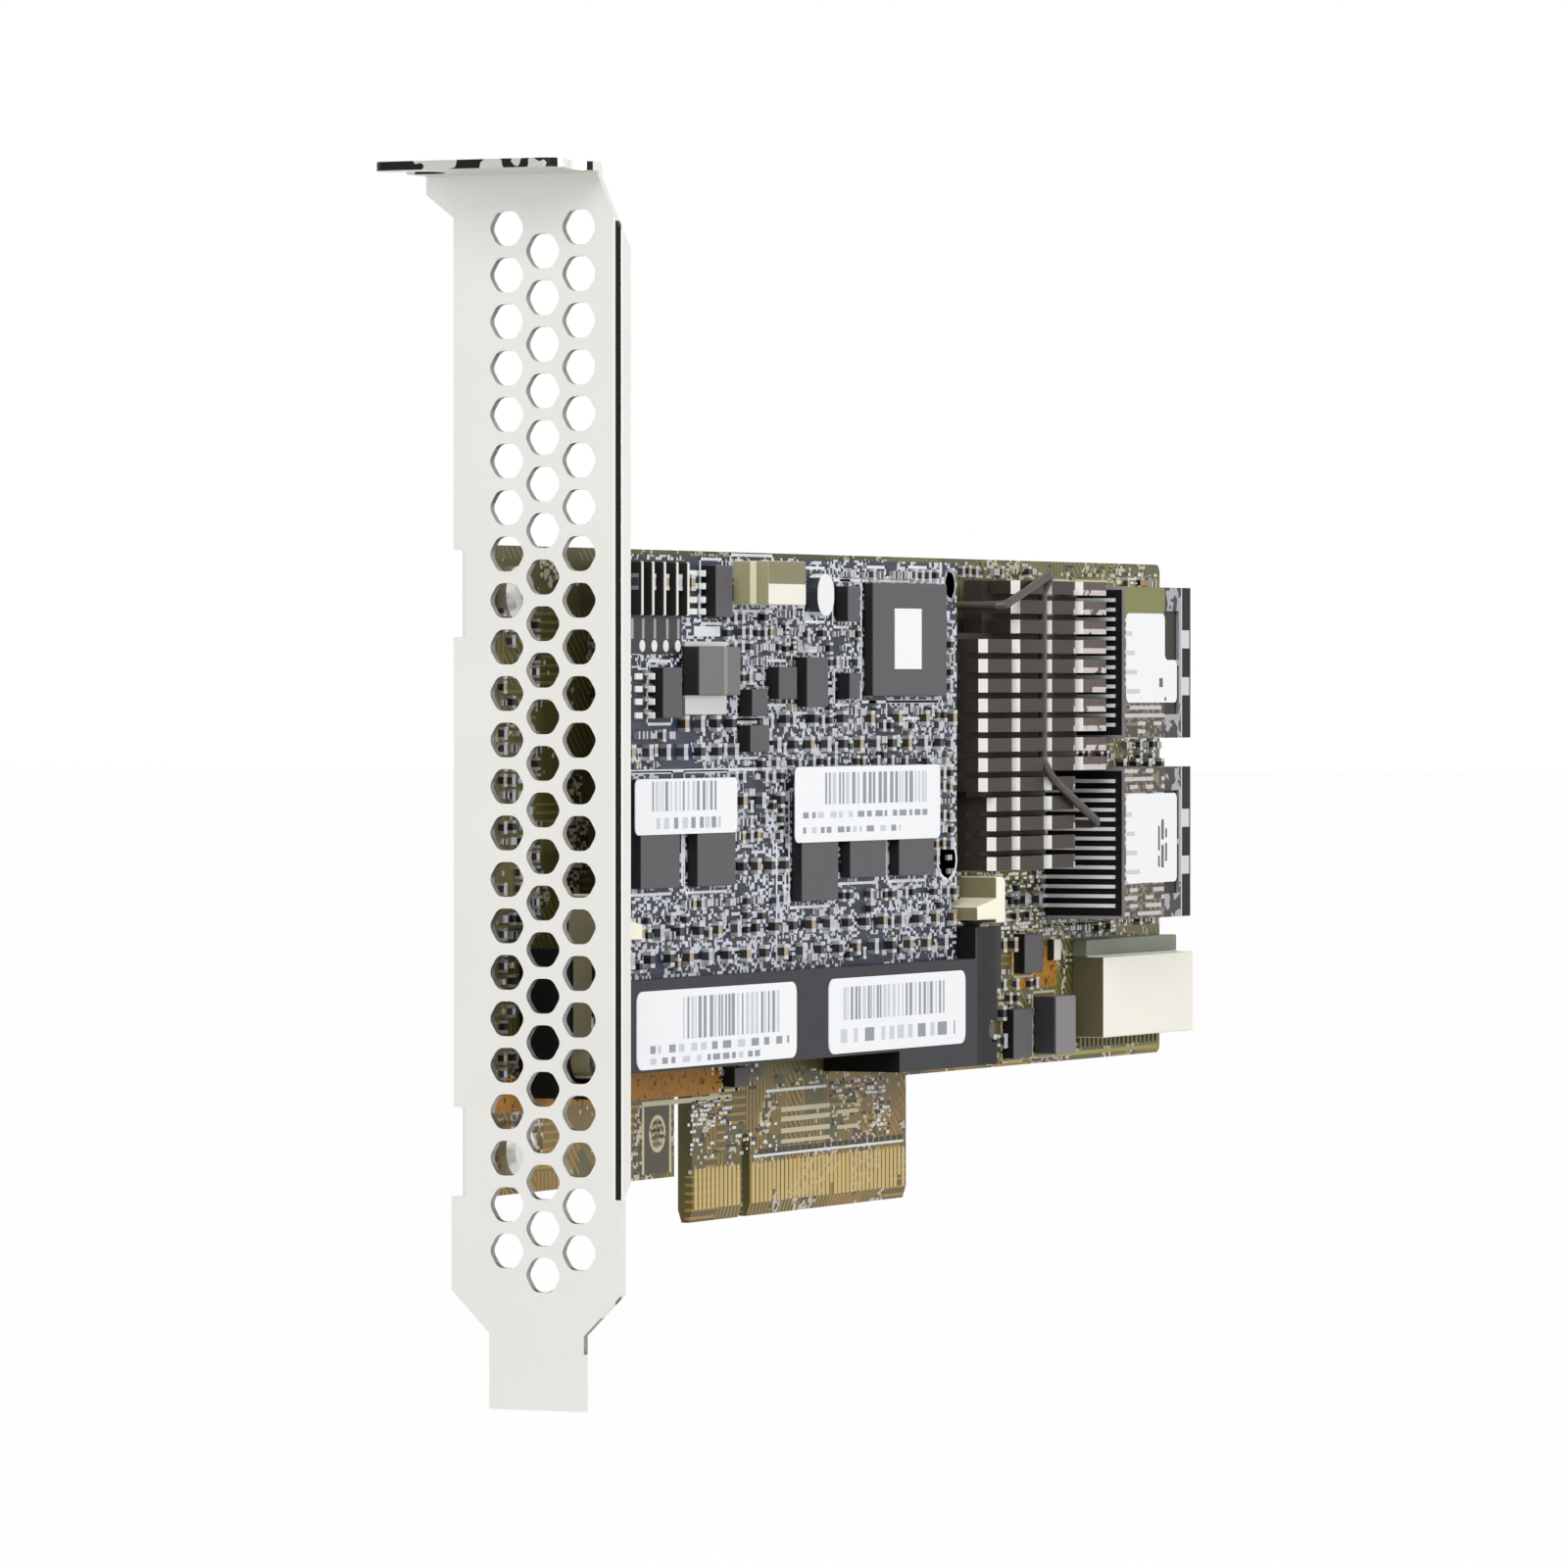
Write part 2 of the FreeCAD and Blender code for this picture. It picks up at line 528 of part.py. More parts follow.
def heat_sink():
    """Extruded sink, cross-cut into rows of pin blocks, notched round its wire clip."""
    body = new_body("heat_sink")
    pad(body, sketch(body, "sink_block", "XZ", "sink_back", rectangle(
        "sink_left", "sink_right", "sink_bottom", "sink_top")), "sink_out - sink_back")
    fins_deep = "sink_out - fin_root"
    gap = cut(body, sketch(body, "fin_gap", "XZ", "sink_out", rectangle(
        "sink_left - channel", "sink_right + channel",
        "sink_bottom + fin_thickness", "sink_bottom + fin_pitch")), fins_deep)
    repeat(body, [gap], "Z_Axis", False, "fin_pitch", "fin_count - 1")
    cross = cut(body, sketch(body, "cross_cut", "XZ", "sink_out", rectangle(
        "sink_left + block_length", "sink_left + block_pitch",
        "sink_bottom - channel", "sink_top + channel")), fins_deep)
    repeat(body, [cross], "X_Axis", False, "block_pitch", "block_count - 1")
    cut(body, sketch(body, "upper_corner", "XZ", "0", rectangle(
        "sink_left - channel", "sink_left + block_length",
        "sink_top - upper_cut_rows * fin_pitch + (fin_pitch - fin_thickness)",
        "sink_top + channel")))
    cut(body, sketch(body, "lower_corner", "XZ", "0", rectangle(
        "sink_right - block_pitch", "sink_right + channel", "sink_bottom - channel",
        "sink_bottom + lower_cut_rows * fin_pitch")))
    cut(body, sketch(body, "lower_inset", "XZ", "0", rectangle(
        "sink_left - channel", "sink_left + lower_rows_inset", "sink_bottom - channel",
        "sink_bottom + inset_rows * fin_pitch")))
    body.Tip = body.Group[-1]
    return named(body, "heat_sink")


def bent_wire(points, radius, bend, flats=12):
    """A wire of many flats: straight runs, with each bend made of two short chords."""
    route = [points[0]]
    for before, corner, after in zip(points, points[1:], points[2:]):
        inward, outward = (corner - before).normalize(), (after - corner).normalize()
        reach = bend * math.tan(inward.getAngle(outward) / 2)
        middle = corner + (outward - inward).normalize() * (math.hypot(reach, bend) - bend)
        route += [corner - inward * reach, middle, corner + outward * reach]
    route.append(points[-1])
    ways = [(after - before).normalize() for before, after in zip(route, route[1:])]
    side = ways[0].cross(Vector(1, 0, 0)).normalize()
    other = ways[0].cross(side)
    turns = [2 * math.pi * step / flats for step in range(flats)]
    rings = [[route[0] + side * radius * math.cos(turn) + other * radius * math.sin(turn)
              for turn in turns]]
    # Each ring is the last one carried along its run to the plane that halves the bend.
    for way, after, place in zip(ways, ways[1:] + ways[-1:], route[1:]):
        plane = way + after
        rings.append([spot + way * ((place - spot).dot(plane) / way.dot(plane))
                      for spot in rings[-1]])
    outlines = [rings[0], rings[-1]]
    for near, far in zip(rings, rings[1:]):
        for step in range(flats):
            following = (step + 1) % flats
            outlines.append([near[step], near[following], far[following], far[step]])
    faces = [Part.Face(Part.makePolygon(outline + outline[:1])) for outline in outlines]
    wire = Part.makeSolid(Part.makeShell(faces))
    return wire if wire.Volume > 0 else wire.reversed()


def clip_places():
    """Middles of the two board hooks that hold the wire clip, as (x, z) formulas."""
    beside = "chip_size / 2 + clip_beside_chip"
    return (("chip_middle_x - (%s)" % beside, "chip_middle_z + chip_size / 2 + clip_above_chip"),
            ("chip_middle_x + " + beside,
             "chip_middle_z - chip_size / 2 + wire / 2 + clip_over_chip_edge"))


def heat_sink_clip():
    """A spring wire that crosses the sink in a channel and hooks under two staples."""
    wire, over = value("wire"), value("sink_out + wire / 2 + wire_clearance")
    inside = value("sink_out - wire / 2 - wire_clearance")
    low = value("board_face + wire / 2 + wire_clearance")
    (left_x, upper_z), (right_x, lower_z) = [
        (value(x), value(z)) for x, z in clip_places()]
    channel_x, bend, hook = value("clip_x"), value("wire_bend"), value("clip_hook_reach")
    top = value("sink_top + wire")
    bottom = value("sink_bottom + lower_cut_rows * fin_pitch - wire")
    step = 2 * bend
    route = [(left_x, low, upper_z + hook), (left_x, low, upper_z), (left_x, over, upper_z),
             (channel_x, over, top), (channel_x, inside, top - step),
             (channel_x, inside, bottom + step), (channel_x, over, bottom),
             (right_x, over, lower_z), (right_x, low, lower_z), (right_x, low, lower_z - hook)]
    points = [Vector(x, -out, z) for x, out, z in route]
    return computed("heat_sink_clip", [bent_wire(points, wire / 2, bend)])


def clip_anchors():
    """Two wire staples soldered to the board, open under the bar for the clip's hook."""
    members = []
    bar = "board_face + wire + 3 * wire_clearance"
    for number, ((x, z), sign) in enumerate(zip(clip_places(), ("+", "-")), 1):
        near = "%s %s (wire + 2 * wire_clearance)" % (z, sign)
        side = ("%s - wire / 2" % near, "%s + wire / 2" % near)
        left, right = "%s - anchor_width / 2" % x, "%s + anchor_width / 2" % x
        legs = [block("anchor_leg_%d_%s" % (number, name), span, ("board_face", bar), side)
                for name, span in (("left", (left + " - wire", left)),
                                   ("right", (right, right + " + wire")))]
        beam = block("anchor_bar_%d" % number, (left + " - wire", right + " + wire"),
                     (bar, bar + " + wire"), side)
        staple = doc.addObject("Part::MultiFuse", "anchor_%d" % number)
        staple.Shapes = legs + [beam]
        members.append(staple)
    return group("clip_anchors", members)


# ---------------------------------------------------------------- cable ports
def port(number, bottom):
    """One internal cable port: sheet shell, moulded housing and two rows of contacts."""
    top = "%s + port_width" % bottom
    shell = new_body("sas_port_%d_shell" % number)
    pad(shell, sketch(shell, "shell_%d" % number, "YZ", "port_left", rectangle(
        "-port_out", "-board_face", bottom, top)), "port_length - port_rim_length")
    cut(shell, sketch(shell, "shell_inside_%d" % number, "YZ", "port_left", rectangle(
        "-(port_out - shell_sheet)", "-(board_face - shell_sheet)",
        bottom + " + shell_sheet", top + " - shell_sheet")))
    middle = "(%s + port_width / 2)" % bottom
    windows = []
    for sign in ("-", "+"):
        across = "%s %s port_windows_apart / 2 " % (middle, sign)
        windows.append(rectangle(
            "rim_start - port_window_back - port_window_length",
            "rim_start - port_window_back",
            across + "- port_window / 2", across + "+ port_window / 2"))
    cut(shell, sketch(shell, "shell_windows_%d" % number, "XZ", "port_out", *windows),
        "2 * shell_sheet")
    for name, sign in (("lower", "-"), ("upper", "+")):
        across = "%s %s port_tabs_apart / 2 " % (middle, sign)
        pad(shell, sketch(shell, "%s_tab_%d" % (name, number), "XZ",
                          "port_out - shell_sheet", rectangle(
                              "rim_start", "port_right - shell_sheet",
                              across + "- port_tab / 2", across + "+ port_tab / 2")),
            "shell_sheet")
    shell.Tip = shell.Group[-1]
    named(shell, "sas_port_%d_shell" % number)

    housing = new_body("sas_port_%d_housing" % number)
    pad(housing, sketch(housing, "moulding_%d" % number, "YZ", "port_left", rectangle(
        "-(port_out - shell_sheet)", "-board_face",
        bottom + " + shell_sheet", top + " - shell_sheet")), "port_length - port_rim_length")
    pad(housing, sketch(housing, "rim_%d" % number, "YZ", "rim_start", rectangle(
        "-port_out", "-board_face", bottom, top)), "port_rim_length")
    seats = []
    for sign in ("-", "+"):
        across = "%s %s port_tabs_apart / 2 " % (middle, sign)
        seats.append(rectangle("rim_start", "port_right - shell_sheet",
                               across + "- port_tab / 2", across + "+ port_tab / 2"))
    cut(housing, sketch(housing, "tab_seats_%d" % number, "XZ", "port_out", *seats),
        "shell_sheet")
    inner, outer = "board_face + mouth_wall", "port_out - mouth_wall"
    cut(housing, sketch(housing, "mouth_%d" % number, "YZ", "port_right", rectangle(
        "-(%s)" % outer, "-(%s)" % inner,
        bottom + " + mouth_wall", top + " - mouth_wall")), "mouth_depth")
    slot_middle = "(board_face + port_out) / 2"
    slot = ("-(%s) - plug_slot / 2" % slot_middle, "-(%s) + plug_slot / 2" % slot_middle)
    cut(housing, sketch(housing, "plug_slot_%d" % number, "YZ", "port_right - mouth_depth",
                        rectangle(slot[0], slot[1], middle + " - plug_slot_width / 2",
                                  middle + " + plug_slot_width / 2")), "plug_slot_depth")
    housing.Tip = housing.Group[-1]
    named(housing, "sas_port_%d_housing" % number)

    contacts = new_body("sas_port_%d_contacts" % number)
    first = "%s - (port_contacts - 1) / 2 * port_contact_pitch - port_contact / 2" % middle
    tail_end = "port_left - port_tail_length"
    leg = "port_left - port_contact"
    features = [pad(contacts, sketch(contacts, "tail_%d" % number, "XY", first, [
        ("port_left", "-(port_out - mouth_wall)"), (leg, "-(port_out - mouth_wall)"),
        (leg, "-(board_face + port_contact)"), (tail_end, "-(board_face + port_contact)"),
        (tail_end, "-board_face"), ("port_left", "-board_face")]), "port_contact")]
    root = "port_right - mouth_depth - plug_slot_depth"
    for name, near, far in (("low", slot[1], slot[1] + " - port_contact"),
                            ("high", slot[0], slot[0] + " + port_contact")):
        features.append(pad(contacts, sketch(contacts, "%s_blade_%d" % (name, number), "XY",
                        first, rectangle(root, "port_right - mouth_depth", near, far)),
                        "port_contact"))
    repeat(contacts, features, "Z_Axis", False, "port_contact_pitch", "port_contacts")
    named(contacts, "sas_port_%d_contacts" % number)


def port_labels():
    """A label on each port; the upper one is cut away round its port's window."""
    left = "port_left + port_label_inset"
    right = left + " + port_label_width"
    window_left = "rim_start - port_window_back - port_window_length"
    window_low = "port_high_bottom + port_width / 2 + (port_windows_apart - port_window) / 2"
    upper = new_body("upper_port_label")
    low = "port_high_bottom + port_label_lift"
    high = low + " + port_label_height"
    pad(upper, sketch(upper, "upper_label_sheet", "XZ", "port_out", [
        (left, low), (right, low), (right, window_low), (window_left, window_low),
        (window_left, high), (left, high)]), "label_thickness")
    low = "port_low_bottom + port_label_lift"
    lower = block("lower_port_label", (left, right), ("port_out", "port_out + label_thickness"),
                  (low, low + " + port_label_height"))
    group("port_labels", [upper, lower])


# ---------------------------------------------------------------- cache module
def cache_board():
    """The module's board, with a notch in each end for the ejector hooks."""
    body = new_body("cache_board")
    pad(body, sketch(body, "module_outline", "XZ", "module_back", rectangle(
        "module_left", "module_right", "module_seat", "module_top")), "module_thickness")
    top = value("module_top")
    ends = [value("module_left"), value("module_right")]
    round_edges(body, "module_corner", lambda edge: any(
        along(edge, 1, x=end, z=top) for end in ends))
    notch_top = "module_notch_bottom + module_notch_height"
    cut(body, sketch(
        body, "hook_notches", "XZ", "0",
        rectangle("module_left - module_corner", "module_left + module_notch_depth",
                  "module_notch_bottom", notch_top),
        rectangle("module_right - module_notch_depth", "module_right + module_corner",
                  "module_notch_bottom", notch_top)))
    return named(body, "cache_board")


def module_socket():
    """Right-angle socket: a slotted bar, a forked tower at each end and a long foot."""
    body = new_body("module_socket")
    deep = "socket_out - board_face"
    pad(body, sketch(body, "socket_bar", "XZ", "board_face", rectangle(
        "socket_left", "socket_right", "socket_bar_bottom", "socket_top")), deep)
    pad(body, sketch(body, "socket_long_foot", "XZ", "board_face", rectangle(
        "socket_right - socket_foot", "socket_right", "socket_bottom", "socket_bar_bottom")),
        deep)
    for name, left, right in (
            ("left_tower", "socket_left", "socket_left + tower_width"),
            ("right_tower", "socket_right - tower_width", "socket_right")):
        pad(body, sketch(body, name, "XZ", "board_face", rectangle(
            left, right, "socket_bottom", "tower_top")), deep)
    half_slot = "module_thickness / 2 + slot_clearance"
    middle = "-(module_out - module_thickness / 2)"
    cut(body, sketch(body, "module_slot", "XY", "socket_top", rectangle(
        "module_left - slot_clearance", "module_right + slot_clearance",
        middle + " - (%s)" % half_slot, middle + " + (%s)" % half_slot)),
        "socket_top - module_seat")
    over = "tower_top + latch_gap"
    for name, left, right in (
            ("left_fork", "socket_left - latch_gap", "socket_left + tower_inside"),
            ("right_fork", "socket_right - tower_inside", "socket_right + latch_gap")):
        cut(body, sketch(body, name, "XZ", "fork_front", rectangle(
            left, right, "fork_bottom", over)), "fork_front - fork_back")
    for name, left, right in (
            ("left_step", "socket_left - latch_gap", "socket_left + tower_step"),
            ("right_step", "socket_right - tower_step", "socket_right + latch_gap")):
        cut(body, sketch(body, name, "XZ", "socket_out", rectangle(
            left, right, "socket_bottom - latch_gap", "tower_step_bottom")), "tower_step")
    cut(body, circles(body, "pivot_holes", "XZ", "socket_out", "latch_boss + 2 * latch_boss_gap",
                      ("module_left - latch_pivot_beyond", "latch_pivot_z"),
                      ("module_right + latch_pivot_beyond", "latch_pivot_z")),
        "socket_out - fork_back + latch_boss_depth + latch_boss_gap")
    body.Tip = body.Group[-1]
    return named(body, "module_socket")


def socket_tails():
    """Solder tails under the socket's bar, beside its foot."""
    body = new_body("socket_tails")
    left = "module_left + tail_start"
    tail = pad(body, sketch(body, "socket_tail", "XZ", "board_face", rectangle(
        left, left + " + tail_width", "socket_bar_bottom - tail_length",
        "socket_bar_bottom")), "tail_thickness")
    repeat(body, [tail], "X_Axis", False, "tail_pitch", "tail_count")
    return named(body, "socket_tails")


def socket_labels():
    for side, start, width in (("left", "socket_label_inset", "left_label_width"),
                               ("right", "right_label_start", "right_label_width")):
        left = "module_left + " + start
        sheet_block = block("socket_label_%s_sheet" % side, (left, "%s + %s" % (left, width)),
                            ("socket_out", "socket_out + label_thickness"),
                            ("socket_label_low", "socket_label_high"))
        named(sheet_block, "socket_label_" + side)


def ejector_latch(name, sign):
    """A lever on a pivot across the tower, hooked over the module's end notch."""
    def across(distance):
        return "module_middle %s (%s)" % (sign, distance)
    body = new_body(name)
    pivot, half = "module_width / 2 + latch_pivot_beyond", "latch_thickness / 2"
    inner, outer = pivot + " - " + half, pivot + " + " + half
    hook_tip = "module_width / 2 - latch_hook_grip"
    stem_back, stem_front = "fork_back + latch_gap", "fork_front - latch_gap"
    lever = "%s - (%s)" % (stem_front, stem_back)
    pad(body, circles(body, name + "_foot", "XZ", stem_back, "2 * latch_foot",
                      (across(pivot), "latch_pivot_z")), lever)
    pad(body, sketch(body, name + "_stem", "XZ", stem_back, rectangle(
        across(inner), across(outer), "latch_pivot_z", "latch_head_bottom")), lever)
    pad(body, sketch(body, name + "_head", "XZ", "latch_head_back", [
        (across(outer), "latch_head_bottom"), (across(outer), "latch_top"),
        (across(inner), "latch_top"), (across(inner), "latch_hook_top + latch_hook_grip"),
        (across(hook_tip), "latch_hook_top"), (across(hook_tip), "latch_hook_bottom"),
        (across(inner), "latch_hook_bottom"), (across(inner), "latch_head_bottom")]),
        "latch_head_front - latch_head_back")
    top_x = value(across(outer))
    round_edges(body, "latch_corner", lambda edge: along(edge, 1, x=top_x, z=value("latch_top")))
    pad(body, circles(body, name + "_bosses", "XZ", "fork_back - latch_boss_depth", "latch_boss",
                      (across(pivot), "latch_pivot_z")),
        "socket_out - latch_gap - (fork_back - latch_boss_depth)")
    return named(body, name)


def module_parts():
    """Chips, coils, header, crystal and labels standing on the cache module.

    Places across the module are in steps of its width, and places up it in millimetres.
    """
    left, low = "module_left + module_step * ", "module_seat + "

    def spots(*rows):
        return [(left + str(x), low + str(z), wide, tall) for x, z, wide, tall in rows]
    chips("memory_chips", "memory_thickness", "module_out", spots(
        *[(x, z, "memory_width", "memory_height")
          for x, z in ((3.8, 17.0), (16.6, 17.0), (41.0, 15.0), (52.7, 17.2), (64.8, 17.2))]))
    chips("cache_controller_chip", "cache_chip_thickness", "module_out", [
        ("cache_chip_left", low + "cache_chip_low", "cache_chip_width", "cache_chip_height")])
    chips("chip_sticker", "label_thickness", "cache_chip_out", [
        ("cache_chip_left + sticker_inset", low + "cache_chip_low + sticker_lift",
         "sticker_width", "sticker_height")])
    chips("cache_chips", "driver_thickness", "module_out", spots(
        (20.2, 43.8, "3.9", "5.2"), (8.2, 33.8, "4.3", "5.0"), (34.9, 35.6, "4.3", "3.3"),
        (28.6, 33.9, "3.7", "2.7"), (41.6, 34.8, "5.1", "5.1"), (51.5, 43.6, "2.9", "3.6"),
        (51.9, 35.6, "2.6", "2.7"), (28.2, 30.3, "4.5", "2.7")))
    leads = []
    for chip_left, chip_low in ((20.2, 43.8), (8.2, 33.8)):
        for row in range(4):
            leads.append((left + "%s - lead_length" % chip_left,
                          low + "%s + (%d + 0.3) * lead_pitch" % (chip_low, row),
                          "lead_length", "lead_width"))
    chips("cache_chip_leads", "lead_thickness", "module_out", leads)
    chips("cache_coil", "coil_thickness", "module_out", spots(
        ("coil_left", "coil_low", "coil_width", "coil_height")))
    chips("cache_coil_terminals", "coil_terminal_thickness", "module_out", spots(
        ("coil_left", "coil_low - coil_terminal", "coil_width", "coil_terminal"),
        ("coil_left", "coil_low + coil_height", "coil_width", "coil_terminal / 4")))
    chips("cache_label_left", "label_thickness", "memory_out", spots(
        (2.4, 22.3, "23.1", "5.5")))
    chips("cache_label_right", "label_thickness", "memory_out", spots(
        (39.2, 21.0, "35.7", "7.7")))

    header = new_body("backup_power_header")
    header_x = (left + "header_left", left + "header_left + header_width")
    header_z = (low + "header_low", low + "header_low + header_height")
    pad(header, sketch(header, "header_block", "XZ", "module_out", rectangle(
        *header_x, *header_z)), "header_out")
    cut(header, sketch(header, "header_mouth", "XY", header_z[1], rectangle(
        header_x[0] + " + header_wall", header_x[1] + " - header_wall",
        "-(module_out + header_out - header_wall)", "-(module_out + header_wall)")),
        "header_depth")
    header.Tip = header.Group[-1]
    named(header, "backup_power_header")
    pins = new_body("backup_power_pins")
    pin_x = "%s + header_width / 2 - (header_pins - 1) / 2 * header_pitch" % header_x[0]
    pin_out = "module_out + header_out / 2"
    pin = pad(pins, sketch(pins, "header_pin_row", "XY", header_z[1] + " - header_depth",
              rectangle(pin_x + " - header_pin / 2", pin_x + " + header_pin / 2",
                        "-(%s) - header_pin / 2" % pin_out,
                        "-(%s) + header_pin / 2" % pin_out)), "header_depth - header_wall")
    repeat(pins, [pin], "X_Axis", False, "header_pitch", "header_pins")
    named(pins, "backup_power_pins")

    crystal = new_body("crystal_oscillator")
    x, z = left + "crystal_left", low + "crystal_low"
    pad(crystal, sketch(crystal, "crystal_block", "XZ", "module_out", rectangle(
        x, x + " + crystal_width", z, z + " + crystal_height")), "crystal_thickness")
    round_edges(crystal, "crystal_width * 0.48",
                lambda edge: abs(edge.Length - value("crystal_thickness")) < 1e-3
                and along(edge, 1))
    named(crystal, "crystal_oscillator")

    computed("cache_passives", passive_rows(
        "module_out", "module_left", "module_seat", "module_step",
        (9.2, 2.4, 79.6, 4.4), (11.8, 4.6, 79.6, 4.4), (29.6, 2.6, 26.0, 3.9),
        (32.4, 14.6, 25.6, 3.6), (30.2, 36.0, 79.6, 4.0), (32.8, 38.0, 79.6, 6.9),
        (18.0, 28.0, 38.0, 3.3), (24.6, 28.0, 37.0, 4.4), (46.4, 4.0, 16.0, 3.0)))


def passive_rows(seat, across, up, unit, *rows):
    """Rows of small two-ended parts; each row is (z, first x, last x, pitch).

    The places along x are in the given unit, and z is in millimetres.
    """
    seat, across, up, unit = value(seat), value(across), value(up), value(unit)
    tall, wide, high = (value("passive_" + word) for word in ("height", "width", "length"))
    inner, outer = (seat, seat + tall) if seat > 0 else (seat - tall, seat)
    shapes = []
    for row_z, first, last, pitch in rows:
        for step in range(int((last - first) / pitch + 1e-6) + 1):
            x, z = across + (first + step * pitch) * unit, up + row_z
            shapes.append(small_box(x, x + wide, inner, outer, z, z + high))
    return shapes


# ---------------------------------------------------------------- other board parts
def side_connector():
    """Low header flush with the card's end: slotted housing, lip and contact row."""
    body = new_body("side_connector")
    pad(body, sketch(body, "side_block", "XZ", "board_face", rectangle(
        "side_left", "side_right", "side_bottom", "side_top")), "side_out - board_face")
    pad(body, sketch(body, "side_lip", "XZ", "board_face", rectangle(
        "side_left", "side_right", "side_bottom", "side_lip_top")),
        "side_lip_out - board_face")
    cut(body, sketch(body, "side_mouth_cut", "XY", "side_top", rectangle(
        "side_left + side_wall", "side_right - side_wall",
        "-(side_out - side_wall)", "-side_lip_out")), "side_mouth_depth")
    body.Tip = body.Group[-1]
    named(body, "side_connector")

    contacts = new_body("side_connector_contacts")
    middle = "(side_left + side_right) / 2 - (side_contacts - 1) / 2 * side_contact_pitch"
    span = (middle + " - side_contact / 2", middle + " + side_contact / 2")
    features = [
        pad(contacts, sketch(contacts, "side_blade", "XZ", "side_lip_out", rectangle(
            *span, "side_top - side_mouth_depth", "side_top - side_wall")), "side_contact / 2"),
        pad(contacts, sketch(contacts, "side_tail", "XZ", "board_face", rectangle(
            *span, "side_bottom - side_tail_length", "side_bottom")), "side_contact / 2")]
    repeat(contacts, features, "X_Axis", False, "side_contact_pitch", "side_contacts")
    named(contacts, "side_connector_contacts")


def board_parts():
    """Power parts, small chips and passives on the open areas of the main board."""
    beside, shelf = "socket_right + ", "board_bottom + "
    named(block("power_inductor_block", ("inductor_left", "inductor_left + inductor_width"),
                ("board_face", "board_face + inductor_thickness"),
                ("board_bottom + inductor_lift",
                 "board_bottom + inductor_lift + inductor_height")), "power_inductor")
    chips("board_chips", "board_chip_thickness", "board_face", [
        (x, shelf + z, wide, high) for x, z, wide, high in (
            (beside + "20.1", "0.8", "5.0", "5.4"), (beside + "23.1", "10.0", "5.0", "4.3"),
            (beside + "5.5", "9.4", "5.4", "4.2"), (beside + "2.3", "1.4", "3.4", "5.0"),
            ("tongue_left + 7.4", "0.5", "3.6", "2.0"),
            ("port_right + 3.3", "36.0", "4.6", "5.2"),
            ("port_right + 3.5", "17.6", "5.6", "4.0"))])
    passives = passive_rows(
        "board_face", "socket_right", "board_bottom", "1",
        (17.2, 1.5, 28.6, 3.8), (2.0, 7.1, 18.7, 2.9), (5.0, 6.7, 18.7, 3.9),
        (12.4, 12.5, 21.5, 3.0))
    passives += passive_rows(
        "board_face", "port_right", "board_bottom", "1",
        *[(row, 1.5, 12.5, 3.6) for row in (24.0, 27.8, 31.6, 43.4, 46.8, 50.4)])
    passives += passive_rows(
        "board_face", "-board_bottom", "board_bottom", "1",
        (-2.4, 0.8, 9.8, 2.2), (-1.9, 33.4, 47.6, 2.0))
    computed("board_passives", passives)
    computed("solder_side_passives", passive_rows(
        "-board_face", "chip_middle_x - chip_size / 2", "chip_middle_z - chip_size / 2", "1",
        *[(2.5 + 6.0 * row, 2.0, 20.0, 4.5) for row in range(4)]))


# ---------------------------------------------------------------- build and write
io_bracket()
bracket_screws()
main_board()
edge_contacts("front", "board_face", (("", 5), ("", 19), ("", 36)))
edge_contacts("back", "-(board_face + contact_thickness)", (("-", 10),))
controller()
heat_sink()
heat_sink_clip()
clip_anchors()
port(1, "(port_high_bottom)")
port(2, "(port_low_bottom)")
port_labels()
cache_board()
module_socket()
socket_tails()
ejector_latch("latch_left", "-")
ejector_latch("latch_right", "+")
module_parts()
socket_labels()
side_connector()
board_parts()

doc.recompute()
for thing in doc.Objects:
    if "Invalid" in thing.State or "Error" in thing.State:
        raise RuntimeError("%s failed: %s" % (thing.Label, thing.State))
os.makedirs("parts", exist_ok=True)
for node in nodes:
    shape = node.Shape
    if shape.isNull() or not shape.isValid() or not shape.Solids:
        raise RuntimeError(node.Label + " has no sound shape")
    shape.exportStep(os.path.join("parts", node.Label + ".step"))
    print("%-26s %3d solids %9.1f mm3" % (node.Label, len(shape.Solids), shape.Volume))
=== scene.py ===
"""Looks of a storage controller card: a plated vented bracket, an olive main board with a
dark finned heat sink, two cable ports and a flat header, and a navy cache module that
stands in a latched socket.  Lengths in the tables are millimetres in the card's frame:
+X away from the bracket, +Z up from the contact edge, component side facing -Y.
"""
import math
import random

import bmesh
import bpy
from mathutils import Matrix, Vector


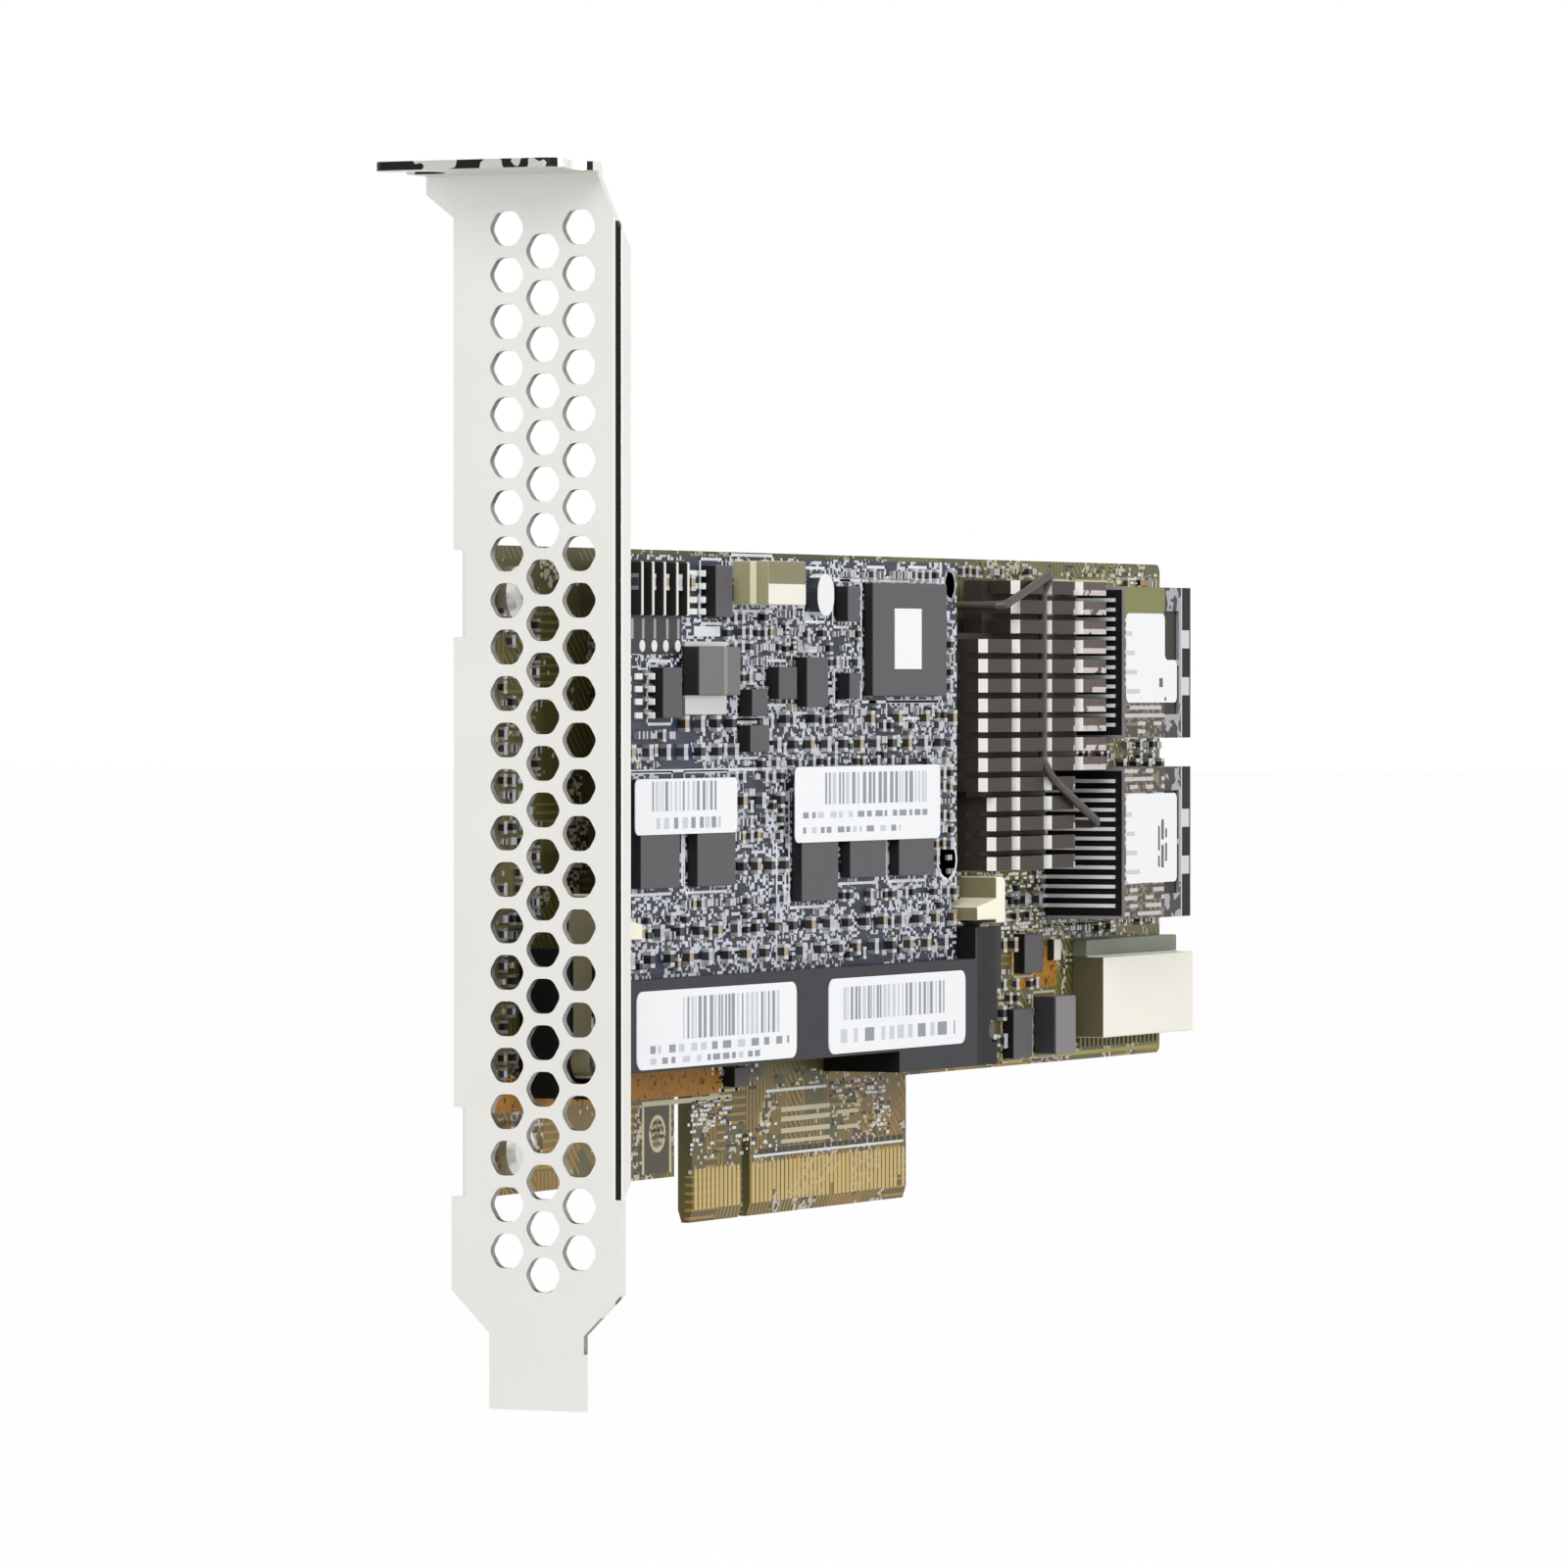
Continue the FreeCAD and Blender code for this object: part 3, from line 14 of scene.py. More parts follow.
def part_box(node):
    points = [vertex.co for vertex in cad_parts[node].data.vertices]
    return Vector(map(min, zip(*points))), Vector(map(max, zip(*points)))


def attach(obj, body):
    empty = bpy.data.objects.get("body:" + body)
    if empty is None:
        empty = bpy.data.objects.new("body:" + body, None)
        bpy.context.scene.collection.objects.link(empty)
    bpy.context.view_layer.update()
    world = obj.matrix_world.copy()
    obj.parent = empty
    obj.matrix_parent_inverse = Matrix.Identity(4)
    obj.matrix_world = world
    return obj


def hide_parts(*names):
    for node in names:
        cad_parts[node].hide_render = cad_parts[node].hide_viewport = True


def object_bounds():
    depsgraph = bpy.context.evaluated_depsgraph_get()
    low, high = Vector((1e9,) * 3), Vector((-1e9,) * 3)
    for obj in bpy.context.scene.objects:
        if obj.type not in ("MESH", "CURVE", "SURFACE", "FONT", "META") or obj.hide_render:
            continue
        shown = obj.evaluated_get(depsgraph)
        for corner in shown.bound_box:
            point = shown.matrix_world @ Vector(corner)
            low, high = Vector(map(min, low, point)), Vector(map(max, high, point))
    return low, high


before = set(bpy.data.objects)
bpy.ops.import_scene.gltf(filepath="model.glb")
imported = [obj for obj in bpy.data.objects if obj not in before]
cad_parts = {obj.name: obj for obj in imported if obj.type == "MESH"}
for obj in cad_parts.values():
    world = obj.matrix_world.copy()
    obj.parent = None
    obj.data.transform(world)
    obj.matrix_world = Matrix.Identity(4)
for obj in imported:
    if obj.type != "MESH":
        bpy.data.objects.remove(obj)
cad_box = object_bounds()
MM = 0.001
CARD = "card"


def in_mm(corners):
    """The lowest and highest corner of a box, from metres to millimetres."""
    return [corner / MM for corner in corners]


# ------------------------------------------------------------------ shader maths
class Value:
    """A number socket that adds Math nodes when it is used in an expression."""

    def __init__(self, graph, socket):
        self.graph = graph
        self.socket = socket

    def math(self, operation, *terms):
        return self.graph.node("ShaderNodeMath", {"operation": operation}, *terms)

    def __add__(self, other):
        return self.math("ADD", self, other)

    def __sub__(self, other):
        return self.math("SUBTRACT", self, other)

    def __rsub__(self, other):
        return self.math("SUBTRACT", other, self)

    def __mul__(self, other):
        return self.math("MULTIPLY", self, other)

    def __truediv__(self, other):
        return self.math("DIVIDE", self, other)

    def __gt__(self, other):
        return self.math("GREATER_THAN", self, other)

    def __lt__(self, other):
        return self.math("LESS_THAN", self, other)

    def between(self, low, high):
        return (self > low) * (self < high)

    def either(self, other):
        return self.math("MAXIMUM", self, other)

    def wrap(self):
        return self.math("FRACT", self)

    def size(self):
        return self.math("ABSOLUTE", self)

    def stripes(self, per_mm, half_width):
        """1 on each of a run of equal lines, 0 between them."""
        return ((self * per_mm).wrap() - 0.5).size() < half_width

    __radd__ = __add__
    __rmul__ = __mul__


class Graph:
    """A node tree: one method adds its nodes, and expressions on values join them."""

    def __init__(self, tree):
        self.tree = tree

    def node(self, kind, settings, *values, output=0, **named):
        """Adds a node: its settings, then values or links for its sockets."""
        made = self.tree.nodes.new(kind)
        for key, setting in settings.items():
            setattr(made, key, setting)
        for key, value in [*enumerate(values), *named.items()]:
            self.feed(made.inputs[key], value)
        return Value(self, made.outputs[output])

    def feed(self, socket, value):
        """Links a socket to a value, or sets it to a plain number or colour."""
        if isinstance(value, Value):
            self.tree.links.new(value.socket, socket)
        else:
            socket.default_value = value

    def rays(self, *kinds):
        """1 for rays of any of these kinds, 0 for all others."""
        any_of = self.node("ShaderNodeLightPath", {}, output=kinds[0])
        for kind in kinds[1:]:
            any_of = any_of.either(self.node("ShaderNodeLightPath", {}, output=kind))
        return any_of


class Finish(Graph):
    """One material: a Principled surface and the nodes that vary it over the piece."""

    def __init__(self, name, roughness, metallic=0.0, coat=0.0, specular=0.5):
        self.material = bpy.data.materials.new(name)
        self.material.use_nodes = True
        super().__init__(self.material.node_tree)
        self.surface = self.tree.nodes["Principled BSDF"].inputs
        self.surface["Metallic"].default_value = metallic
        self.surface["Roughness"].default_value = roughness
        self.surface["Coat Weight"].default_value = coat
        self.surface["Coat Roughness"].default_value = 0.25
        self.surface["Specular IOR Level"].default_value = specular
        self.roughness = roughness
        place = self.node("ShaderNodeTexCoord", {}, output="Object")
        self.place = self.node("ShaderNodeVectorMath", {"operation": "SCALE"}, place,
                               Scale=1 / MM)

    def noise(self, scale, detail, stretch=(1.0, 1.0, 1.0)):
        """Soft blotches; scale is in blotches per millimetre."""
        place = self.node("ShaderNodeVectorMath", {"operation": "MULTIPLY"}, self.place, stretch)
        return self.node("ShaderNodeTexNoise", {}, Vector=place, Scale=scale, Detail=detail,
                         Roughness=0.55)

    def cells(self, *scale):
        """A steady random number in each cell of a grid; scale is in cells per millimetre."""
        each = scale * 3 if len(scale) == 1 else scale
        place = self.node("ShaderNodeVectorMath", {"operation": "MULTIPLY"}, self.place, each)
        place = self.node("ShaderNodeVectorMath", {"operation": "FLOOR"}, place)
        return self.node("ShaderNodeTexWhiteNoise", {"noise_dimensions": "3D"}, place)

    def split(self, vector):
        first = self.node("ShaderNodeSeparateXYZ", {}, vector)
        return [Value(self, output) for output in first.socket.node.outputs]

    def axes(self):
        """The place on the card, in millimetres along X, Y and Z."""
        return self.split(self.place)

    def normals(self):
        """The way the piece's own surface faces: three numbers from -1 to 1."""
        return self.split(self.node("ShaderNodeTexCoord", {}, output="Normal"))

    def mix(self, factor, first, second):
        made = self.node("ShaderNodeMix", {"data_type": "RGBA"}, output=2)
        for index, value in ((0, factor), (6, first), (7, second)):
            self.feed(made.socket.node.inputs[index], value)
        return made

    def colour(self, colour):
        self.feed(self.surface["Base Color"], colour)

    def rough(self, blotches, spread):
        self.feed(self.surface["Roughness"], (blotches - 0.5) * spread + self.roughness)

    def bump(self, height, strength, depth):
        """Raises the surface by up to depth millimetres."""
        lift = self.node("ShaderNodeBump", {}, Strength=strength, Distance=depth * MM,
                         Height=height)
        self.feed(self.surface["Normal"], lift)


def paint(red, green, blue):
    """A colour given as it shows on a screen, from 0 to 255, made linear."""
    def linear(part):
        part /= 255.0
        return part / 12.92 if part <= 0.04045 else ((part + 0.055) / 1.055) ** 2.4
    return (linear(red), linear(green), linear(blue), 1.0)


def shade(colour, factor):
    """The same colour, darker below a factor of 1 and paler above it."""
    return tuple(part * factor for part in colour[:3]) + (1.0,)


# ------------------------------------------------------------------ finishes
# A face counts as turned to the bracket, or to the component side, when its normal along X,
# or along Y, is below this.
FACING = -0.6


def left_face(place, facing):
    """The faces turned to the bracket, which the light hardly reaches; zones on them are painted
    shade.
    """
    return facing[0] < FACING


def front_face(place, facing):
    """The faces on the component side."""
    return facing[1] < FACING


def dull_patches(place, facing):
    """Blotches where copper has lost its shine."""
    return place[0].graph.noise(1.3, 3.0) < 0.42


def moulded(name, colour, roughness, speckle=0.10, specular=0.5, grain=2.2, zones=()):
    """Moulded or printed stuff: faint blotches, a fine grain and an uneven sheen.

    Each zone is a colour and a test on place and facing that says where it shows.
    """
    finish = Finish(name, roughness, specular=specular)
    blotches = finish.noise(0.22, 4.0)
    fine = finish.noise(grain, 2.0)
    tone = finish.mix(blotches, shade(colour, 1 - speckle), shade(colour, 1 + speckle * 0.6))
    tone = finish.mix(fine * 0.4, tone, shade(colour, 1 - 1.4 * speckle))
    for zone_colour, inside in zones:
        zone_tone = finish.mix(fine, shade(zone_colour, 0.85), zone_colour)
        tone = finish.mix(inside(finish.axes(), finish.normals()), tone, zone_tone)
    finish.colour(tone)
    finish.rough(blotches, 0.18)
    finish.bump(fine, 0.25, 0.01)
    return finish.material


# The outer bend carries a painted dark reflection in a slanting band: a place on it, its slope,
# and how far it reaches to either side of that line.
BEND_PLACE, BEND_SLOPE, BEND_LINE = (-59.05, -15.56), 0.48, (-0.45, 0.18)


def bracket_steel(name, colour):
    """Nickel plate with a painted dark reflection along the outer bend, painted shade on the vent
    walls and dark blotches of painted shade on the flange's cut edge.
    """
    finish = Finish(name, 0.36, metallic=0.75)
    x, y, z = finish.axes()
    across, out = finish.normals()[:2]
    marks = finish.noise(0.06, 5.0)
    grain = finish.noise(4.0, 3.0, stretch=(1.0, 1.0, 0.12))
    tone = finish.mix(marks, shade(colour, 0.93), colour)
    tone = finish.mix(grain * 0.3, tone, shade(colour, 0.9))
    # Painted shade on the walls of the vents, in a dark grey mottle.
    vent_wall_shade = finish.mix(finish.noise(0.9, 4.0), paint(60, 58, 54), paint(176, 174, 168))
    vent_wall = (across.size() < 0.7) * (x < -58.0) * y.between(-13.5, -1.2)
    tone = finish.mix(vent_wall * z.between(-10.0, 100.0), tone, vent_wall_shade)
    # A painted dark reflection along the outer bend.
    bend = (out < -0.2) * (x < -57.2) * (y < -14.0) * (z < 99.0)
    slant = (x - BEND_PLACE[0]) * BEND_SLOPE - (y - BEND_PLACE[1])
    line = bend * slant.between(*BEND_LINE)
    tone = finish.mix(line, tone, paint(20, 20, 20))
    # Painted shade in dark blotches on the flange's outer cut edge.
    edge_shade_blotches = finish.mix(finish.noise(0.3, 2.0) > 0.55, paint(26, 25, 24), paint(190, 188, 182))
    tone = finish.mix((across < -0.5) * (x < -60.0), tone, edge_shade_blotches)
    finish.colour(tone)
    finish.rough((marks + grain) * 0.5, 0.2)
    finish.bump(grain, 0.1, 0.008)
    return finish.material


def port_tin(name, colour):
    """A tinned shell with a painted reflection of the busy board beside it, and plain metal
    further back.
    """
    finish = Finish(name, 0.34, metallic=0.55)
    x, _, z = finish.axes()
    front = finish.normals()[1] < FACING
    drawn = finish.noise(3.0, 3.0, stretch=(0.12, 1.0, 1.0))
    plain = finish.mix(drawn, shade(colour, 0.82), colour)
    # The front beside the board is a painted reflection of it: dark and pale flecks, bright
    # stripes, and olive above 62 mm.
    stripe = ((z * 1.15).wrap() > 0.5) * (finish.cells(0.45, 0.1, 1.15) > 0.35)
    busy = finish.mix(finish.cells(1.5, 1.0, 3.2) > 0.6, paint(52, 46, 34),
                      paint(120, 112, 88))
    busy = finish.mix(stripe * 0.9, busy, paint(200, 190, 192))
    busy = finish.mix(z > 62.0, busy, paint(118, 118, 56))
    corner = finish.mix(finish.noise(0.5, 2.0) > 0.52, paint(26, 26, 30), plain)
    outside = (z > 62.3).either(z.between(42.6, 52.4)).either(z < 32.6)
    tone = finish.mix(outside * front, plain, corner)
    tone = finish.mix((x > 92.2) * front, tone, paint(206, 204, 206))
    finish.colour(finish.mix((x < 87.6) * front, tone, busy))
    finish.rough(drawn, 0.2)
    finish.bump(drawn, 0.15, 0.01)
    return finish.material


def plated(name, colour, roughness, metallic=0.9):
    """Plated or bare metal: grain drawn up and down, with soft handling marks."""
    finish = Finish(name, roughness, metallic=metallic)
    marks = finish.noise(0.07, 5.0)
    grain = finish.noise(5.0, 3.0, stretch=(1.0, 1.0, 0.12))
    smudged = shade(colour, 0.88)
    tone = finish.mix(marks, smudged, colour)
    finish.colour(finish.mix(grain * 0.35, tone, smudged))
    finish.rough((marks + grain) * 0.5, 0.22)
    finish.bump(grain, 0.12, 0.008)
    return finish.material


def circuit_board(name, mask, copper, line_share, fleck, fleck_share, dark, busy):
    """Solder mask over etched lines: each small field has its own run of lines.

    Pads and print are flecks of fleck and dark, thick where the noise is above busy.
    """
    finish = Finish(name, 0.45, coat=0.1, specular=0.3)
    x, _, z = finish.axes()
    front = finish.normals()[1] < -0.5
    field = finish.cells(0.21)
    turn = finish.cells(0.147)
    leaning = turn > 0.66
    upright = turn < 0.33
    level = 1 - leaning.either(upright)
    runs = ((x + z).stripes(0.83, 0.17) * leaning + x.stripes(1.18, 0.17) * upright
            + z.stripes(1.18, 0.17) * level)
    poured = finish.noise(0.06, 2.0) > 0.53
    copper_here = (runs * (field < line_share)).either(poured * 0.35)
    golden = finish.mix(z < 14.0, copper, paint(168, 126, 40))
    tone = finish.mix(copper_here, mask, golden)
    vias = finish.node("ShaderNodeTexVoronoi", {"feature": "F1"}, Vector=finish.place,
                       Scale=0.62, Randomness=0.85)
    tone = finish.mix((vias < 0.17) * (field > 1 - fleck_share), tone, fleck)
    crowd = (finish.noise(0.11, 2.0) > busy) * front
    tick = finish.cells(1.5, 1.0, 3.1) * 0.6 + finish.cells(2.6, 1.0, 1.9) * 0.4
    tone = finish.mix((tick > 0.56) * crowd * 0.9, tone, fleck)
    tone = finish.mix((tick < 0.41) * crowd * 0.9, tone, dark)
    # Painted shade on the component side behind the bracket.
    shade_behind_bracket = (x < -45.0) * front * (z > 16.5)
    tone = finish.mix(shade_behind_bracket * 0.3, tone, dark)
    finish.colour(finish.mix(finish.noise(0.5, 4.0) * 0.35, tone, shade(mask, 0.75)))
    finish.rough(finish.noise(0.3, 3.0), 0.2)
    finish.bump(copper_here, 0.5, 0.03)
    return finish.material


FIN_PITCH = 2.1


def fin_metal(name, dark, bright, lit_tips_from):
    """Dark anodised fins whose cut ends are bare metal, painted bright only near the tips, and
    painted glints on the far fin tops.
    """
    finish = Finish(name, 0.45, specular=0.2)
    x, y, z = finish.axes()
    across, out = finish.normals()[:2]
    # Cut ends are bare metal, painted bright only near the tips; below that they keep the dark
    # colour as painted shade.
    sawn_ends_lit = (across.size() > 0.8) * (y < lit_tips_from)
    drawn = finish.noise(3.0, 3.0, stretch=(0.1, 1.0, 1.0))
    tone = finish.mix(drawn * 0.6, dark, shade(dark, 1.6))
    low, high = in_mm(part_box("heat_sink"))
    # On the far fin tops: a lighter mottle, and painted glints in rows at the fin pitch.
    glint_rows = ((z - low.z) / FIN_PITCH).wrap() < 0.3
    far_tone_and_glints = finish.mix(finish.noise(1.2, 3.0), paint(58, 48, 40), paint(112, 96, 92))
    far_tone_and_glints = finish.mix(glint_rows * (finish.noise(0.5, 2.0) > 0.42), far_tone_and_glints, paint(214, 204, 204))
    far = (x > low.x + 0.72 * (high.x - low.x)) * (out < FACING)
    tone = finish.mix(far * 0.8, tone, far_tone_and_glints)
    finish.colour(finish.mix(sawn_ends_lit, tone, bright))
    finish.rough(drawn, 0.2)
    finish.bump(drawn, 0.25, 0.01)
    return finish.material


OLIVE, NAVY = paint(84, 78, 38), paint(20, 26, 46)
NIGHT, HEADER_RECESS_SHADE = paint(14, 12, 13), paint(122, 116, 78)
# A zone tested with left_face alone is painted shade on the faces turned to the bracket, away
# from the lamps.
materials = {
    "nickel": bracket_steel("nickel_plated_steel", paint(228, 227, 222)),
    "screw": plated("zinc_plated_screw", paint(222, 221, 216), 0.28),
    "wire": plated("drawn_spring_wire", paint(66, 58, 52), 0.45, metallic=0.1),
    "tin": port_tin("tinned_shell", paint(168, 164, 172)),
    "spring": plated("port_contact", paint(226, 228, 232), 0.4, metallic=0.1),
    "pin": plated("tinned_contact", paint(226, 225, 220), 0.3),
    "gold": plated("gilded_contact", paint(198, 172, 108), 0.4, metallic=0.25),
    "can": moulded("crystal_can", paint(226, 227, 228), 0.35, 0.04,
                   zones=((paint(40, 40, 44), left_face),)),
    "board": circuit_board("olive_solder_mask", OLIVE, paint(128, 120, 66), 0.62,
                           paint(206, 198, 178), 0.5, paint(36, 30, 18), 0.56),
    "module": circuit_board("navy_solder_mask", NAVY, paint(44, 54, 82), 0.42,
                            paint(224, 226, 238), 0.55, paint(7, 8, 14), 0.42),
    "epoxy": moulded("moulded_epoxy", paint(77, 75, 79), 0.5, grain=4.0, specular=0.3,
                     zones=((NIGHT, left_face),)),
    "fins": fin_metal("anodised_fins", paint(44, 38, 33), paint(246, 244, 240), -8.4),
    "pad": moulded("thermal_pad", paint(150, 152, 152), 0.8),
    "port_black": moulded("port_moulding", paint(14, 14, 15), 0.5, specular=0.15,
                          zones=((paint(52, 56, 44), lambda place, facing:
                                  (place[0] < 91.2) * front_face(place, facing)),)),
    # Socket: painted shade on the faces turned to the bracket; everything past 38.6 mm is painted
    # dark as the shade between the module's edge and the tower, except the tower's front past
    # 43.6 mm, which is lighter.
    "socket_black": moulded(
        "socket_moulding", paint(50, 51, 55), 0.5, specular=0.15,
        zones=((NIGHT, left_face),
               (paint(24, 22, 24), lambda place, facing: place[0] > 38.6),
               (paint(44, 42, 48), lambda place, facing:
                (place[0] > 43.6) * front_face(place, facing)))),
    # Latches: painted shade on the faces turned to the bracket; their component-side faces below
    # 21 mm are painted darker.
    "latch_ivory": moulded("latch_moulding", paint(240, 236, 214), 0.42, 0.05,
                           zones=((paint(116, 110, 80), left_face),
                                  (paint(58, 54, 46), lambda place, facing:
                                   (place[2] < 21.0) * (facing[1] < -0.5)))),
    # Power header: painted shade on the side turned to the bracket, with a paler strip along a
    # rib in its middle left out of it, and painted shade in the recess of the front above 64.6
    # mm.
    "header_ivory": moulded(
        "power_header_moulding", paint(228, 225, 212), 0.45, 0.05,
        zones=((paint(150, 146, 112), left_face),
               (paint(222, 218, 178), lambda place, facing:
                left_face(place, facing) * place[1].between(-10.1, -9.4)),
               (HEADER_RECESS_SHADE, lambda place, facing:
                front_face(place, facing) * (place[2] > 64.6)))),
    "side_ivory": moulded(
        "side_header_moulding", paint(236, 232, 220), 0.45, 0.05,
        zones=((paint(86, 81, 55), left_face),
               (paint(118, 122, 106), lambda place, facing: place[2] > 24.5))),
    "ferrite": moulded("pressed_ferrite", paint(118, 115, 117), 0.5, grain=5.0,
                       zones=((paint(40, 38, 42), left_face),)),
    "coil": moulded("wound_coil", paint(96, 98, 95), 0.5, grain=5.0,
                    zones=((paint(128, 132, 127), lambda place, facing:
                            place[0].between(-23.2, -22.4)),
                           (NIGHT, left_face))),
    "paper": moulded("label_paper", paint(232, 233, 235), 0.55, 0.03),
    "ink": moulded("grey_print", paint(140, 144, 150), 0.6, 0.08),
    "ink_dark": moulded("dark_print", paint(86, 88, 92), 0.6, 0.08),
    "pale_ink_and_fin_shadow": moulded("pale_print_and_fin_shadow", paint(196, 200, 206), 0.6, 0.06),
    "silk": moulded("white_silkscreen", paint(222, 226, 226), 0.6, 0.08),
    "silk_grey": moulded("grey_silkscreen", paint(150, 154, 156), 0.6, 0.08),
    "silk_tan": moulded("tan_silkscreen", paint(196, 188, 156), 0.6, 0.08),
    "copper": moulded("bare_copper_pour", paint(176, 122, 34), 0.5, 0.3, grain=1.1,
                      specular=0.2, zones=((paint(84, 56, 24), dull_patches),)),
    "dark_olive": moulded("dark_mask", paint(58, 50, 24), 0.5, 0.2),
    "tail": moulded("dulled_tail", paint(112, 106, 66), 0.5),
    "olive_gold": moulded("golden_mask", paint(150, 124, 56), 0.5),
    "edge_green": moulded("yellow_green_edge", paint(150, 148, 62), 0.5),
    "solder": plated("solder", paint(206, 207, 205), 0.34, metallic=0.8),
    "ceramic_tan": moulded("tan_ceramic", paint(168, 150, 122), 0.5,
                           zones=((paint(40, 34, 26), left_face),)),
    "ceramic_grey": moulded("grey_ceramic", paint(176, 178, 190), 0.5,
                            zones=((paint(50, 50, 56), left_face),)),
    "ceramic_dark": moulded("dark_ceramic", paint(34, 34, 40), 0.45, zones=((NIGHT, left_face),)),
    "bar_cream": moulded("cream_bar", paint(224, 220, 206), 0.5, zones=((NIGHT, left_face),)),
    "night": moulded("black_part", NIGHT, 0.5),
    "lilac": moulded("lilac_plate", paint(160, 154, 160), 0.5,
                     zones=((paint(50, 44, 50), left_face),)),
}

# The CAD nodes that are seen as they are, and the finish of each.
CAD_FINISH = {
    "bracket_screws": "screw", "main_board": "board",
    "edge_contacts_front": "gold", "edge_contacts_back": "gold",
    "controller_chip": "epoxy", "thermal_pad": "pad", "heat_sink": "fins",
    "heat_sink_clip": "wire", "clip_anchors": "pin",
    "sas_port_1_shell": "tin", "sas_port_2_shell": "tin",
    "sas_port_1_housing": "port_black", "sas_port_2_housing": "port_black",
    "sas_port_1_contacts": "spring", "sas_port_2_contacts": "spring",
    "cache_board": "module", "chip_sticker": "paper", "cache_chip_leads": "solder",
    "cache_coil_terminals": "solder", "backup_power_pins": "pin",
    "crystal_oscillator": "can", "socket_tails": "pin", "side_connector_contacts": "tail",
}
for node_name, finish_name in CAD_FINISH.items():
    for material_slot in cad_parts[node_name].material_slots:
        material_slot.material = materials[finish_name]


# ------------------------------------------------------------------ making pieces
def add_piece(name, mesh, finishes, body=CARD, replaces=()):
    """Puts a mesh in the scene as a piece that rides a body and may replace CAD nodes."""
    piece = bpy.data.objects.new(name, mesh)
    bpy.context.collection.objects.link(piece)
    for finish in finishes:
        mesh.materials.append(materials[finish])
    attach(piece, body)
    if replaces:
        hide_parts(*replaces)


def mesh_of(shape, name):
    """Turns a shape into a mesh and frees it."""
    mesh = bpy.data.meshes.new(name)
    shape.to_mesh(mesh)
    shape.free()
    return mesh


def merged(node):
    """A copy of a CAD piece with its doubled corners merged."""
    shape = bmesh.new()
    shape.from_mesh(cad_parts[node].data)
    bmesh.ops.remove_doubles(shape, verts=shape.verts, dist=0.002 * MM)
    return shape


def whole_faces(node):
    """A merged copy whose flat faces are whole again, so that its edges are the real ones."""
    shape = merged(node)
    bmesh.ops.dissolve_limit(shape, angle_limit=math.radians(1.0), verts=shape.verts,
                             edges=shape.edges)
    for face in shape.faces:
        face.material_index = 0
    return shape


def round_edges(shape, edges, width, segments):
    """Rounds edges by a width in millimetres, in a number of steps."""
    bmesh.ops.bevel(shape, geom=edges, offset=width * MM, offset_type="OFFSET",
                    segments=segments, profile=0.5, affect="EDGES", clamp_overlap=True,
                    material=-1)


def softened(node, name, finish, width, body=CARD):
    """A copy of a CAD piece whose sharp edges are eased, as moulds and tools leave them."""
    shape = whole_faces(node)
    sharp = [edge for edge in shape.edges
             if len(edge.link_faces) == 2 and edge.calc_face_angle(0.0) > math.radians(40)]
    round_edges(shape, sharp, width, 2)
    add_piece(name, mesh_of(shape, name), [finish], body, (node,))


def solid_boxes(node):
    """Lowest and highest corner, in millimetres, of each separate solid of a CAD node."""
    shape = merged(node)
    boxes, seen = [], set()
    for start in shape.verts:
        if start in seen:
            continue
        island, heap = [], [start]
        seen.add(start)
        while heap:
            vertex = heap.pop()
            island.append(vertex.co / MM)
            for edge in vertex.link_edges:
                other = edge.other_vert(vertex)
                if other not in seen:
                    seen.add(other)
                    heap.append(other)
        low = Vector([min(place[axis] for place in island) for axis in range(3)])
        high = Vector([max(place[axis] for place in island) for axis in range(3)])
        boxes.append((low, high))
    shape.free()
    return boxes


